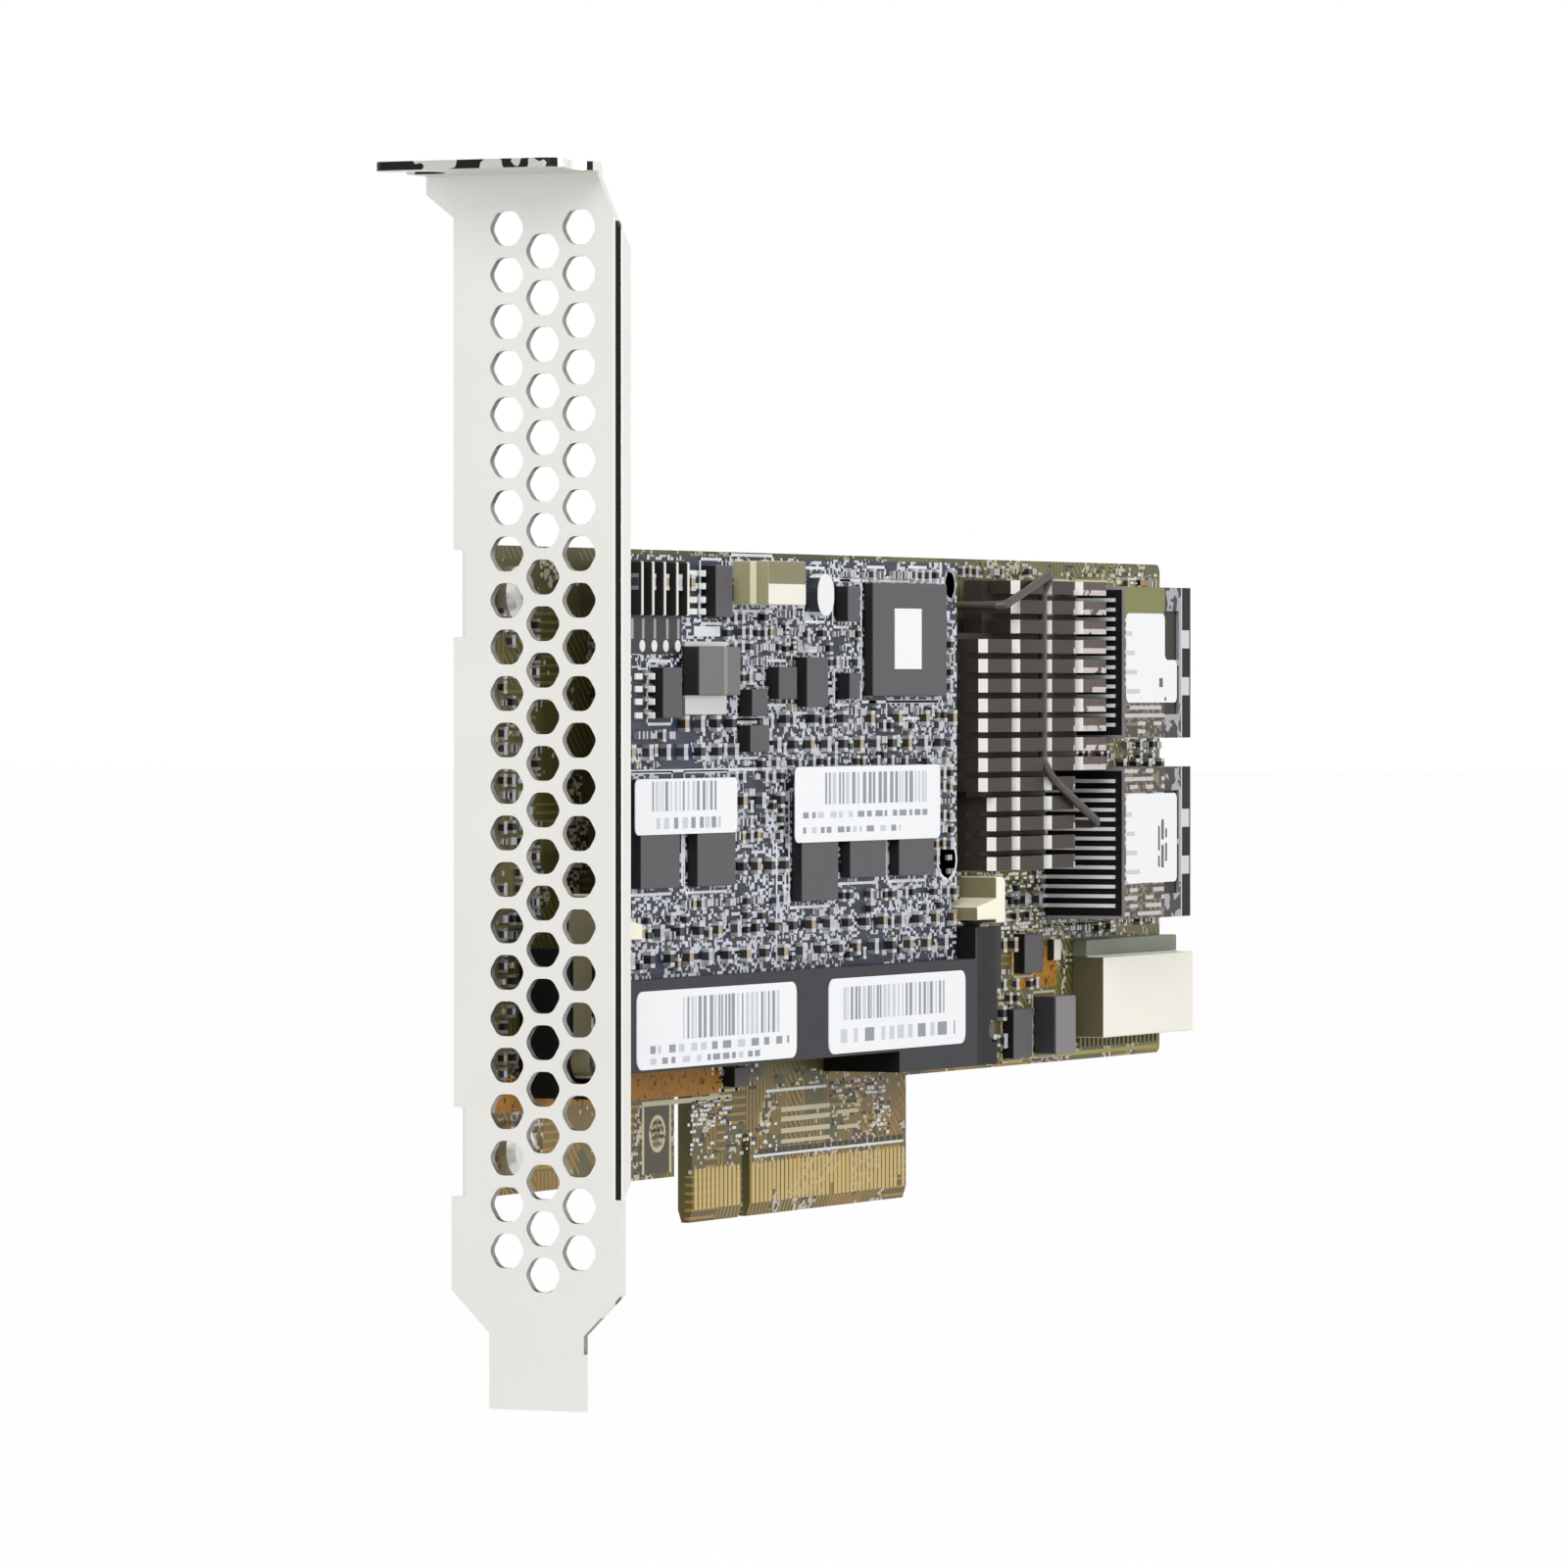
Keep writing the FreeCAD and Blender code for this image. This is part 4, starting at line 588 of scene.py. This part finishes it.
class Tray:
    """Gathers many small blocks into one mesh, each in one of the tray's finishes."""

    def __init__(self, *finishes):
        self.finishes = finishes
        self.shape = bmesh.new()

    def block(self, x, out, z, finish=None, ease=0.0):
        """A block between two places each way; out is measured towards the component side."""
        part = bmesh.new()
        size = Vector((x[1] - x[0], out[1] - out[0], z[1] - z[0])) * MM
        middle = Vector((x[0] + x[1], -out[0] - out[1], z[0] + z[1])) * (MM / 2)
        bmesh.ops.create_cube(part, size=1.0, matrix=Matrix.LocRotScale(middle, None, size))
        if ease:
            round_edges(part, part.edges[:], ease, 1)
        self.pour(part, finish)

    def disc(self, x, out, z, radius, finish=None, sides=20, hole=0.0, stretch=1.0):
        """A flat disc on a board, or a ring with a hole of that radius; stretch is upwards."""
        part = bmesh.new()
        place = Matrix.Translation(Vector((x, -(out[0] + out[1]) / 2, z)) * MM)
        turn = Matrix.Rotation(math.pi / 2, 4, "X")
        bmesh.ops.create_cone(part, cap_ends=not hole, segments=sides,
                              radius1=radius * MM, radius2=radius * MM,
                              depth=(out[1] - out[0]) * MM)
        if hole:
            rim = [edge for edge in part.edges if edge.is_boundary]
            inner = bmesh.ops.duplicate(part, geom=part.verts[:] + part.edges[:] + part.faces[:])
            verts = [item for item in inner["geom"] if isinstance(item, bmesh.types.BMVert)]
            share = hole / radius
            bmesh.ops.scale(part, vec=(share, share, 1.0), verts=verts)
            rim += [item for item in inner["geom"]
                    if isinstance(item, bmesh.types.BMEdge) and item.is_boundary]
            top = [edge for edge in rim if edge.verts[0].co.z > 0]
            bottom = [edge for edge in rim if edge.verts[0].co.z < 0]
            bmesh.ops.bridge_loops(part, edges=top)
            bmesh.ops.bridge_loops(part, edges=bottom)
        bmesh.ops.scale(part, vec=(1.0, stretch, 1.0), verts=part.verts)
        bmesh.ops.transform(part, matrix=place @ turn, verts=part.verts)
        bmesh.ops.recalc_face_normals(part, faces=part.faces)
        self.pour(part, finish)

    def pour(self, part, finish):
        """Adds a part to the tray, all of it in one finish; none means the tray's first."""
        slot = self.finishes.index(finish) if finish else 0
        for face in part.faces:
            face.material_index = slot
        mesh = bpy.data.meshes.new("pour")
        part.to_mesh(mesh)
        part.free()
        self.shape.from_mesh(mesh)
        bpy.data.meshes.remove(mesh)

    def serve(self, name, replaces=()):
        """Makes one piece of all that the tray holds."""
        add_piece(name, mesh_of(self.shape, name), self.finishes, CARD, replaces)


# ------------------------------------------------------------------ eased CAD pieces
# The CAD node, the name of its eased copy, the finish, and how wide the eased edge is.
EASED = (
    ("memory_chips", "memory_packages", "epoxy", 0.12),
    ("cache_controller_chip", "cache_controller_package", "epoxy", 0.15),
    ("cache_chips", "cache_chip_packages", "epoxy", 0.12),
    ("board_chips", "board_chip_packages", "epoxy", 0.12),
    ("cache_coil", "cache_coil_body", "coil", 0.2),
    ("power_inductor", "power_inductor_body", "ferrite", 0.25),
    ("backup_power_header", "power_header_moulding", "header_ivory", 0.12),
    ("side_connector", "side_header_moulding", "side_ivory", 0.15),
    ("module_socket", "module_socket_moulding", "socket_black", 0.15),
)
for node_name, piece_name, finish_name, width in EASED:
    softened(node_name, piece_name, finish_name, width)

# Where the vents are, front to back and bottom to top, and the radius of their corners.
VENT_FIELD = ((-13.6, -1.0), (-12.0, 101.0))
VENT_CORNER = 0.55


def is_vent_corner(edge):
    """Whether an edge runs through the sheet at one of the six corners of a vent."""
    run = (edge.verts[1].co - edge.verts[0].co) / MM
    middle = (edge.verts[0].co + edge.verts[1].co) / (2 * MM)
    (front, back), (bottom, top) = VENT_FIELD
    inside = front < middle.y < back and bottom < middle.z < top
    through = abs(run.x) > 0.5 and abs(run.y) + abs(run.z) < 0.01
    return (inside and through and len(edge.link_faces) == 2
            and math.radians(50) < edge.calc_face_angle(0.0) < math.radians(70))


def rounded_vents():
    """The bracket again, its six-sided vents given the round corners a punch leaves."""
    shape = whole_faces("io_bracket")
    corners = [edge for edge in shape.edges if is_vent_corner(edge)]
    round_edges(shape, corners, VENT_CORNER, 3)
    bmesh.ops.triangulate(shape, faces=shape.faces, quad_method="BEAUTY",
                          ngon_method="EAR_CLIP")
    add_piece("vented_bracket", mesh_of(shape, "vented_bracket"), ["nickel"],
              replaces=("io_bracket",))


rounded_vents()
for side in ("left", "right"):
    softened("latch_" + side, "ejector_latch_" + side, "latch_ivory", 0.2, "latch_" + side)


# ------------------------------------------------------------------ small parts
PART_FINISHES = ("solder", "ceramic_tan", "ceramic_grey", "ceramic_dark")
TERMINAL, TAN, GREY, DARK = PART_FINISHES
# The plated share of a part's length at each end, and how proud the plating stands.
PLATED_SHARE, PLATING = 0.24, 0.03
# Length, width and height of the two sizes of part, and the chances that sow them.
LARGE_PART, SMALL_PART = (1.25, 0.7, 0.55), (1.0, 0.5, 0.35)
UPRIGHT_SHARE, LARGE_SHARE, LIGHT_SHARE = 0.55, 0.75, 0.55
# The step of the rows, how far a part strays from it, and its room to anything larger.
PART_STEP, STRAY, PART_ROOM = (1.75, 1.5), (0.3, 0.25), 0.95


def small_part(tray, x, z, seat, sign, length, width, height, upright, body):
    """A two-ended part: a fired body between plated ends, seated on a board face."""
    end = length * PLATED_SHARE
    spans = ((0.0, end, TERMINAL, PLATING), (end, length - end, body, 0.0),
             (length - end, length, TERMINAL, PLATING))
    for first, last, finish, proud in spans:
        across = (-width / 2 - proud, width / 2 + proud)
        run = (first - length / 2, last - length / 2)
        over = sorted((seat, seat + sign * (height + proud)))
        if upright:
            tray.block((x + across[0], x + across[1]), over, (z + run[0], z + run[1]), finish)
        else:
            tray.block((x + run[0], x + run[1]), over, (z + across[0], z + across[1]), finish)


def retrace(tray, boxes, sign, spread):
    """Makes each plain small part of the CAD again, with plated ends.

    The sign is 1 on a component side and -1 on the back; spread varies the order of colours.
    """
    for low, high in boxes:
        seat = -high.y if sign > 0 else -low.y
        body = (TAN, GREY, DARK)[int(low.x * spread + low.z * 3) % 3]
        small_part(tray, (low.x + high.x) / 2, (low.z + high.z) / 2, seat, sign,
                   high.z - low.z, high.x - low.x, high.y - low.y, True, body)


def touches(boxes, x, z, reach):
    """Whether a place on the board is within reach of any of the boxes."""
    return any(low.x - reach < x < high.x + reach and low.z - reach < z < high.z + reach
               for low, high in boxes)


def scatter(tray, areas, keep_clear, seat, seed, fill=0.8, tan_share=0.08):
    """Fills board areas with seeded rows of small parts, clear of everything larger."""
    dice = random.Random(seed)
    for left, right, bottom, top in areas:
        z = bottom + PART_STEP[1] / 2
        while z < top - 0.4:
            x = left + PART_STEP[0] / 2
            while x < right - 0.4:
                kind, chance, shift = dice.random(), dice.random(), dice.random()
                if chance < fill and not touches(keep_clear, x, z, PART_ROOM):
                    length, width, height = LARGE_PART if kind < LARGE_SHARE else SMALL_PART
                    body = TAN if shift < tan_share else GREY if shift < LIGHT_SHARE else DARK
                    small_part(tray, x + (shift - 0.5) * STRAY[0], z + (chance - 0.5) * STRAY[1],
                               seat, 1, length, width, height, kind < UPRIGHT_SHARE, body)
                x += PART_STEP[0]
            z += PART_STEP[1]


def boxes_of(*node_names):
    """The boxes of every separate solid of several CAD nodes."""
    return [box for name in node_names for box in solid_boxes(name)]


board_low, board_high = in_mm(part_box("main_board"))
board_face = -board_low.y
module_face = -in_mm(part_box("cache_board"))[0].y

module_big = boxes_of("memory_chips", "cache_controller_chip", "cache_chips", "cache_coil",
                      "cache_coil_terminals", "backup_power_header", "crystal_oscillator",
                      "cache_chip_leads")
module_passives = boxes_of("cache_passives")
module_tray = Tray(*PART_FINISHES)
retrace(module_tray, module_passives, 1, 7)
MODULE_AREAS = (
    (-43.4, 37.2, 26.0, 34.2), (-43.4, 37.2, 45.8, 51.2), (-18.0, -5.2, 34.0, 46.0),
    (31.0, 37.4, 34.0, 60.0), (-11.5, 13.8, 50.0, 61.5), (-20.0, -9.6, 50.0, 61.8),
    (7.0, 34.0, 46.5, 53.0), (8.0, 33.0, 65.2, 66.9), (-8.0, 0.0, 58.0, 66.5),
)
scatter(module_tray, MODULE_AREAS, module_big + module_passives, module_face, 11)
module_tray.serve("cache_small_parts", replaces=("cache_passives",))

board_big = boxes_of("controller_chip", "heat_sink", "clip_anchors", "side_connector",
                     "side_connector_contacts", "power_inductor", "board_chips",
                     "sas_port_1_housing", "sas_port_2_housing", "sas_port_1_contacts",
                     "sas_port_2_contacts", "module_socket", "socket_tails")
board_passives = boxes_of("board_passives")
board_tray = Tray(*PART_FINISHES)
TONGUE_TOP, TONGUE_END = 14.0, 40.0
clear_of_tongue = [(low, high) for low, high in board_passives
                   if high.z >= TONGUE_TOP or low.x >= TONGUE_END]
retrace(board_tray, clear_of_tongue, 1, 7)
BOARD_AREAS = (
    (46.0, 75.0, 13.6, 34.2), (96.0, 107.8, 27.5, 67.2), (75.4, 96.0, 26.8, 28.4),
    (76.0, 96.0, 45.8, 48.2), (45.6, 74.8, 66.0, 67.4), (-56.0, -46.0, 16.0, 66.5),
)
# No small part is seated on the key notch; its depth isn't looked at.
KEY_NOTCH = (Vector((-2.2, -1, 0)), Vector((2.2, 1, 10.0)))
board_keep = board_big + board_passives + [KEY_NOTCH]
scatter(board_tray, BOARD_AREAS, board_keep, board_face, 5, fill=0.72, tan_share=0.22)
board_tray.serve("board_small_parts", replaces=("board_passives",))

solder_tray = Tray(*PART_FINISHES)
retrace(solder_tray, boxes_of("solder_side_passives"), -1, 5)
solder_tray.serve("solder_side_small_parts", replaces=("solder_side_passives",))


# ------------------------------------------------------------------ printed lines and labels
def frame_lines(tray, low, high, gap, width, out):
    """A thin printed outline round a part."""
    left, right = low.x - gap, high.x + gap
    bottom, top = low.z - gap, high.z + gap
    tray.block((left, left + width), out, (bottom, top))
    tray.block((right - width, right), out, (bottom, top))
    tray.block((left, right), out, (bottom, bottom + width))
    tray.block((left, right), out, (top - width, top))


# The tables here give left, right, bottom and top, then a height, ink or finish if it varies.
print_tray = Tray("silk", "silk_grey", "night")
module_ink = (module_face, module_face + 0.02)
for low, high in boxes_of("memory_chips", "cache_controller_chip", "cache_chips",
                          "backup_power_header", "crystal_oscillator"):
    frame_lines(print_tray, low, high, 0.75, 0.28, module_ink)
WHITE_LINES = (
    (35.2, 35.5, 53.0, 58.4), (33.9, 34.2, 49.7, 52.8), (33.6, 33.9, 28.8, 33.7),
    (-4.9, -4.5, 32.4, 36.4), (25.9, 26.2, 30.2, 34.0), (-28.9, -28.5, 34.5, 39.8),
    (7.4, 7.7, 35.0, 38.2), (20.0, 20.3, 34.6, 38.0), (8.5, 34.4, 65.1, 65.4),
    (-27.2, -15.4, 58.4, 58.7), (-18.1, -9.4, 50.8, 51.1), (-43.6, 37.2, 45.8, 46.1),
    (-6.9, -6.6, 26.4, 46.6), (-26.0, -20.0, 59.3, 60.3),
)
for left, right, bottom, top in WHITE_LINES:
    print_tray.block((left, right), module_ink, (bottom, top))
EMPTY_FRAMES = (
    (14.7, 19.8, 65.6, 66.8), (25.0, 30.4, 65.7, 66.9), (19.8, 33.0, 50.8, 52.9),
    (27.5, 31.5, 29.6, 31.8),
)
for left, right, bottom, top in EMPTY_FRAMES:
    frame_lines(print_tray, Vector((left, 0, bottom)), Vector((right, 0, top)), 0, 0.3,
                module_ink)
for step in range(7):
    print_tray.block((12.8, 13.2), module_ink, (52.8 + 1.7 * step, 53.8 + 1.7 * step))
UPPER_ROWS, LOWER_ROWS = (65.55, 64.28, 62.92, 61.75), (55.3, 54.05, 52.8, 51.45)
for rows, ground, pad in ((UPPER_ROWS, (-28.4, -25.2), (-27.6, -25.7)),
                          (LOWER_ROWS, (-40.0, -36.8), (-39.5, -38.0))):
    for row in rows:
        print_tray.block(ground, module_ink, (row - 0.62, row + 0.62), "night")
        print_tray.block(pad, (module_face, module_face + 0.2), (row - 0.3, row + 0.3))
print_tray.block((-43.6, -28.8), (module_face, module_face + 0.01), (57.5, 66.8), "night")
BAR_PLACES = (-39.84, -37.43, -34.8, -32.0, -29.5)
for middle in BAR_PLACES:
    print_tray.block((middle - 0.35, middle + 0.2), module_ink, (59.0, 61.0), "silk_grey")
for middle in (-37.8, -35.1, -32.5, -29.8):
    print_tray.disc(middle, (module_face, module_face + 0.1), 58.3, 0.6, sides=12)
print_tray.disc(36.0, module_ink, 65.0, 1.6, "silk_grey", hole=1.2, stretch=1.12)
print_tray.disc(35.3, module_ink, 36.0, 2.6, hole=2.2, stretch=0.85)
print_tray.disc(16.5, module_ink, 51.8, 1.3, "night")
print_tray.serve("cache_silkscreen")

bar_tray = Tray("bar_cream", "silk")
for middle in BAR_PLACES:
    bar_tray.block((middle - 0.32, middle + 0.32), (module_face, module_face + 1.1),
                   (61.3, 66.6), ease=0.08)
for edge, rows in ((-24.9, UPPER_ROWS), (-36.4, LOWER_ROWS)):
    for row in rows:
        bar_tray.block((edge - 0.4, edge - 0.05), (module_face + 0.05, module_face + 0.85),
                       (row - 0.32, row + 0.32), "silk", ease=0.06)
bar_tray.serve("cache_bars")

INKS = {"t": "silk_tan", "w": "silk", "l": "lilac", "b": "night"}
board_print = Tray(*INKS.values(), "dark_olive")
board_ink = (board_face, board_face + 0.02)
for low, high in boxes_of("board_chips", "power_inductor"):
    frame_lines(board_print, low, high, 0.5, 0.25, board_ink)
for port in ("sas_port_1_housing", "sas_port_2_housing"):
    low, high = in_mm(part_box(port))
    frame_lines(board_print, low, high, 0.9, 0.25, board_ink)
board_print.block((-24.1, -17.4), (board_face, board_face + 0.01), (5.4, 12.2), "dark_olive")
board_print.disc(-20.6, board_ink, 9.4, 1.9, hole=1.5)
TONGUE_LINES = (
    (-24.1, -3.3, 12.2, 12.7, "t"), (-24.1, -23.6, 5.4, 12.2, "t"),
    (-17.9, -17.4, 5.4, 12.2, "t"), (8.5, 20.4, 10.35, 10.85, "t"), (8.5, 20.4, 9.35, 9.85, "t"),
    (8.5, 20.4, 8.15, 8.65, "t"), (8.5, 20.4, 7.1, 7.5, "t"), (4.9, 19.6, 12.5, 12.8, "w"),
    (23.9, 24.3, 13.0, 15.2, "w"), (22.2, 27.6, 8.0, 8.4, "t"), (22.2, 27.6, 9.6, 10.0, "t"),
    (1.8, 38.9, 5.95, 6.2, "w"),
)
for left, right, bottom, top, ink in TONGUE_LINES:
    board_print.block((left, right), board_ink, (bottom, top), INKS[ink])
for step in range(24):
    board_print.block((3.0 + 1.5 * step, 4.1 + 1.5 * step), board_ink, (6.25, 6.75), "night")


# A dash before chance varies it, the inked share of its step, and the step of the rows.
FLECK_LONG, FLECK_TALL = 0.75, 0.36
INKED_SHARE, ROW_STEP = 0.85, 1.25


def flecks(tray, areas, out, seed):
    """Short dashes sown over areas, like print and pads.

    Each area is left, right, bottom, top, the share of dashes and the inks to draw from.
    """
    dice = random.Random(seed)
    for left, right, bottom, top, share, inks in areas:
        z = bottom
        while z < top:
            x = left
            while x < right:
                wide = FLECK_LONG * (0.6 + 0.9 * dice.random())
                if dice.random() < share:
                    tray.block((x, min(x + wide * INKED_SHARE, right)), out,
                               (z, z + FLECK_TALL * (0.55 + 0.5 * dice.random())),
                               INKS[inks[int(dice.random() * len(inks))]])
                x += wide
            z += FLECK_TALL * ROW_STEP


FLECKED_AREAS = (
    (-13.6, -3.3, 9.8, 12.3, 0.72, "wwb"), (20.4, 34.3, 11.4, 12.8, 0.6, "lwb"),
    (30.2, 35.6, 7.0, 10.9, 0.6, "wtb"), (-13.0, 7.6, 6.4, 9.6, 0.3, "twb"),
    (21.0, 30.0, 8.4, 11.2, 0.3, "ttb"), (-24.0, 1.0, 16.3, 16.4, 0.4, "w"),
    (-8.0, 3.0, 13.0, 16.2, 0.4, "wbb"), (7.0, 38.0, 13.0, 14.6, 0.25, "twb"),
    (45.8, 60.0, 14.6, 34.0, 0.6, "wwb"), (60.0, 96.0, 26.5, 34.0, 0.65, "wwb"),
    (96.6, 107.4, 27.5, 67.0, 0.5, "wbl"), (45.6, 96.0, 66.0, 67.4, 0.4, "tb"),
    (79.0, 96.0, 15.4, 17.0, 0.4, "tb"), (64.5, 69.0, 14.4, 19.6, 0.5, "lbw"),
)
flecks(board_print, FLECKED_AREAS, board_ink, 21)
board_print.serve("board_silkscreen")

EDGE_PARTS = (
    (-5.7, 0.1, 13.8, 15.7, 0.9, "night"), (0.2, 2.1, 13.5, 15.1, 0.8, "bar_cream"),
    (69.8, 74.6, 23.7, 26.9, 0.9, "night"), (77.0, 79.0, 24.2, 26.5, 0.8, "bar_cream"),
    (64.9, 66.8, 15.0, 18.8, 0.6, "lilac"),
)
edge_tray = Tray("night", "bar_cream", "lilac")
for left, right, bottom, top, tall, kind in EDGE_PARTS:
    if not touches(board_big, (left + right) / 2, (bottom + top) / 2, 1.0):
        edge_tray.block((left, right), (board_face, board_face + tall), (bottom, top), kind,
                        ease=0.08)
edge_tray.serve("edge_parts")

trace_tray = Tray("gold", "copper", "olive_gold", "edge_green")
trace_out = (board_face, board_face + 0.015)
dice = random.Random(3)
for low, high in boxes_of("edge_contacts_front"):
    middle = (low.x + high.x) / 2
    rise = high.z + 0.3 * dice.random()
    trace_tray.block((middle - 0.14, middle + 0.14), trace_out, (high.z, rise))
mark_left = board_high.x - 6.8
POURS = (
    (67.2, 79.6, 21.3, 25.8, "copper"), (-56.8, -5.6, 12.9, 16.2, "copper"),
    (20.0, 30.6, 13.3, 15.3, "olive_gold"),
    (66.0, board_high.x - 0.6, 13.5, 13.95, "edge_green"),
    (mark_left, mark_left + 1.2, 62.6, 66.4, "olive_gold"),
    (mark_left, mark_left + 4.4, 65.6, 66.4, "olive_gold"),
    (mark_left, mark_left + 4.4, 62.6, 63.4, "olive_gold"),
)
for left, right, bottom, top, pour in POURS:
    trace_tray.block((left, right), trace_out, (bottom, top), pour)
trace_tray.serve("copper_pours")


PRINT_THICK = 0.012


def printed_bars(tray, node, bands, seed):
    """Plain bars in two greys across a label.

    Each band is its left, right, bottom and top as shares of the label, and the bars' width.
    """
    low, high = in_mm(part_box(node))
    size = high - low
    out = (-low.y, -low.y + PRINT_THICK)
    dice = random.Random(seed)
    for x_from, x_to, z_from, z_to, coarse in bands:
        x, last = low.x + x_from * size.x, low.x + x_to * size.x
        z = (low.z + z_from * size.z, low.z + z_to * size.z)
        while x < last:
            width = coarse * (0.5 + dice.random())
            ink = "ink" if dice.random() < 0.6 else "pale_ink_and_fin_shadow"
            tray.block((x, min(x + width, last)), out, z, ink)
            x += width + coarse * (0.4 + dice.random())


def round_sheet(node, name, radius):
    """A stuck-on sheet again, with the round corners it is cut with."""
    shape = whole_faces(node)
    corners = [edge for edge in shape.edges
               if abs(edge.verts[0].co.x - edge.verts[1].co.x) < 0.01 * MM
               and abs(edge.verts[0].co.z - edge.verts[1].co.z) < 0.01 * MM]
    round_edges(shape, corners, radius, 4)
    add_piece(name, mesh_of(shape, name), ["paper"], replaces=(node,))


LABEL_CORNERS = (
    ("socket_label_left", 1.1), ("socket_label_right", 1.1),
    ("cache_label_left", 0.7), ("cache_label_right", 0.7), ("port_labels", 0.7),
)
for node_name, radius in LABEL_CORNERS:
    round_sheet(node_name, node_name + "_sheet", radius)

LABEL_BARS = (
    ("socket_label_left", ((0.28, 0.90, 0.36, 0.90, 0.55), (0.08, 0.95, 0.20, 0.30, 1.3),
                           (0.08, 0.78, 0.06, 0.14, 1.3))),
    ("socket_label_right", ((0.10, 0.84, 0.44, 0.88, 0.5), (0.08, 0.92, 0.14, 0.32, 1.6))),
    ("cache_label_left", ((0.16, 0.80, 0.42, 0.95, 0.5), (0.20, 0.84, 0.10, 0.30, 0.8))),
    ("cache_label_right", ((0.20, 0.90, 0.50, 0.92, 0.6), (0.05, 0.94, 0.32, 0.40, 1.2),
                           (0.05, 0.72, 0.12, 0.20, 1.2))),
)
label_tray = Tray("ink", "pale_ink_and_fin_shadow", "ink_dark")
for seed, (node_name, bands) in enumerate(LABEL_BARS, start=1):
    printed_bars(label_tray, node_name, bands, seed)
label_low = in_mm(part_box("port_labels"))[0]
label_out = (-label_low.y, -label_low.y + PRINT_THICK)
# Painted shadows of the fins: streaks up the left edge of both port labels, each shorter than the
# one below it.
for lift in (19.8, 0.0):
    for step in range(4):
        streak = (label_low.x, label_low.x + 3.6 - 0.7 * step)
        low = label_low.z + lift + 1.0 + 2.1 * step
        label_tray.block(streak, label_out, (low, low + 0.5), "pale_ink_and_fin_shadow")
PORT_MARKS = (
    (9.1, 10.1, 54.2, 55.2), (10.6, 11.1, 52.7, 53.1), (8.8, 9.3, 34.4, 35.6),
    (8.8, 9.3, 36.2, 38.9), (9.7, 10.4, 34.3, 36.8), (9.7, 10.4, 37.4, 39.6),
    (10.8, 11.3, 35.0, 37.0), (10.8, 11.3, 37.6, 38.6),
)
for left, right, bottom, top in PORT_MARKS:
    label_tray.block((label_low.x + left, label_low.x + right), label_out, (bottom, top),
                     "ink_dark")
label_tray.serve("label_print_and_fin_shadows")


# ------------------------------------------------------------------ floor, light and camera
WHITE = (1.0, 1.0, 1.0, 1.0)
FLOOR_GLOW, ROOM_LIGHT = 0.97, 0.42


def stage_material(name, colour, glow):
    """Pale stage paint that reads as plain white behind the card but keeps its shadow."""
    material = bpy.data.materials.new(name)
    material.use_nodes = True
    material.node_tree.nodes.clear()
    graph = Graph(material.node_tree)
    seen = graph.rays("Is Camera Ray", "Is Glossy Ray")
    pigment = graph.node("ShaderNodeBsdfDiffuse", {}, colour)
    light = graph.node("ShaderNodeEmission", {}, WHITE)
    blend = graph.node("ShaderNodeMixShader", {}, seen * glow, pigment, light)
    graph.feed(graph.tree.nodes.new("ShaderNodeOutputMaterial").inputs["Surface"], blend)
    return material


floor_shape = bmesh.new()
bmesh.ops.create_grid(floor_shape, x_segments=1, y_segments=1, size=6.0)
bmesh.ops.translate(floor_shape, verts=floor_shape.verts,
                    vec=Vector((0.0, 0.0, cad_box[0][2] - 0.2 * MM)))
floor = bpy.data.objects.new("floor", mesh_of(floor_shape, "floor"))
floor.data.materials.append(stage_material("pale_floor", (0.85, 0.85, 0.85, 1.0), FLOOR_GLOW))
bpy.context.collection.objects.link(floor)

world = bpy.data.worlds.new("studio")
bpy.context.scene.world = world
world.use_nodes = True
sky = Graph(world.node_tree)
room = world.node_tree.nodes["Background"].inputs
room["Color"].default_value = WHITE
bright_rays = sky.rays("Is Camera Ray", "Is Glossy Ray", "Is Transmission Ray")
sky.feed(room["Strength"], bright_rays * (1.0 - ROOM_LIGHT) + ROOM_LIGHT)


def lamp(name, place, aim, size, power):
    """A square lamp that points at a place."""
    light = bpy.data.lights.new(name, "AREA")
    light.size = size
    light.energy = power
    holder = bpy.data.objects.new(name, light)
    holder.location = place
    holder.rotation_euler = (Vector(aim) - Vector(place)).to_track_quat("-Z", "Y").to_euler()
    bpy.context.collection.objects.link(holder)


lamp("key_lamp", (-0.9, -0.35, 0.55), (0.0, 0.0, 0.04), 0.5, 8.4)
lamp("side_lamp", (0.35, -1.1, 0.35), (0.02, 0.0, 0.04), 0.6, 5.6)

VIEW_YAW, VIEW_PITCH = math.radians(25.2591), math.radians(0.61324)
view = bpy.data.cameras.new("camera")
view.sensor_width = 36.0
view.lens = 213.9878
view.clip_start, view.clip_end = 0.05, 20.0
camera = bpy.data.objects.new("camera", view)
camera.location = (-0.86109, -0.41143, 0.05452)
forward = Vector((math.cos(VIEW_YAW) * math.cos(VIEW_PITCH),
                  math.sin(VIEW_YAW) * math.cos(VIEW_PITCH), -math.sin(VIEW_PITCH)))
camera.rotation_euler = forward.to_track_quat("-Z", "Y").to_euler()
bpy.context.collection.objects.link(camera)
bpy.context.scene.camera = camera
bpy.context.scene.view_settings.view_transform = "Standard"
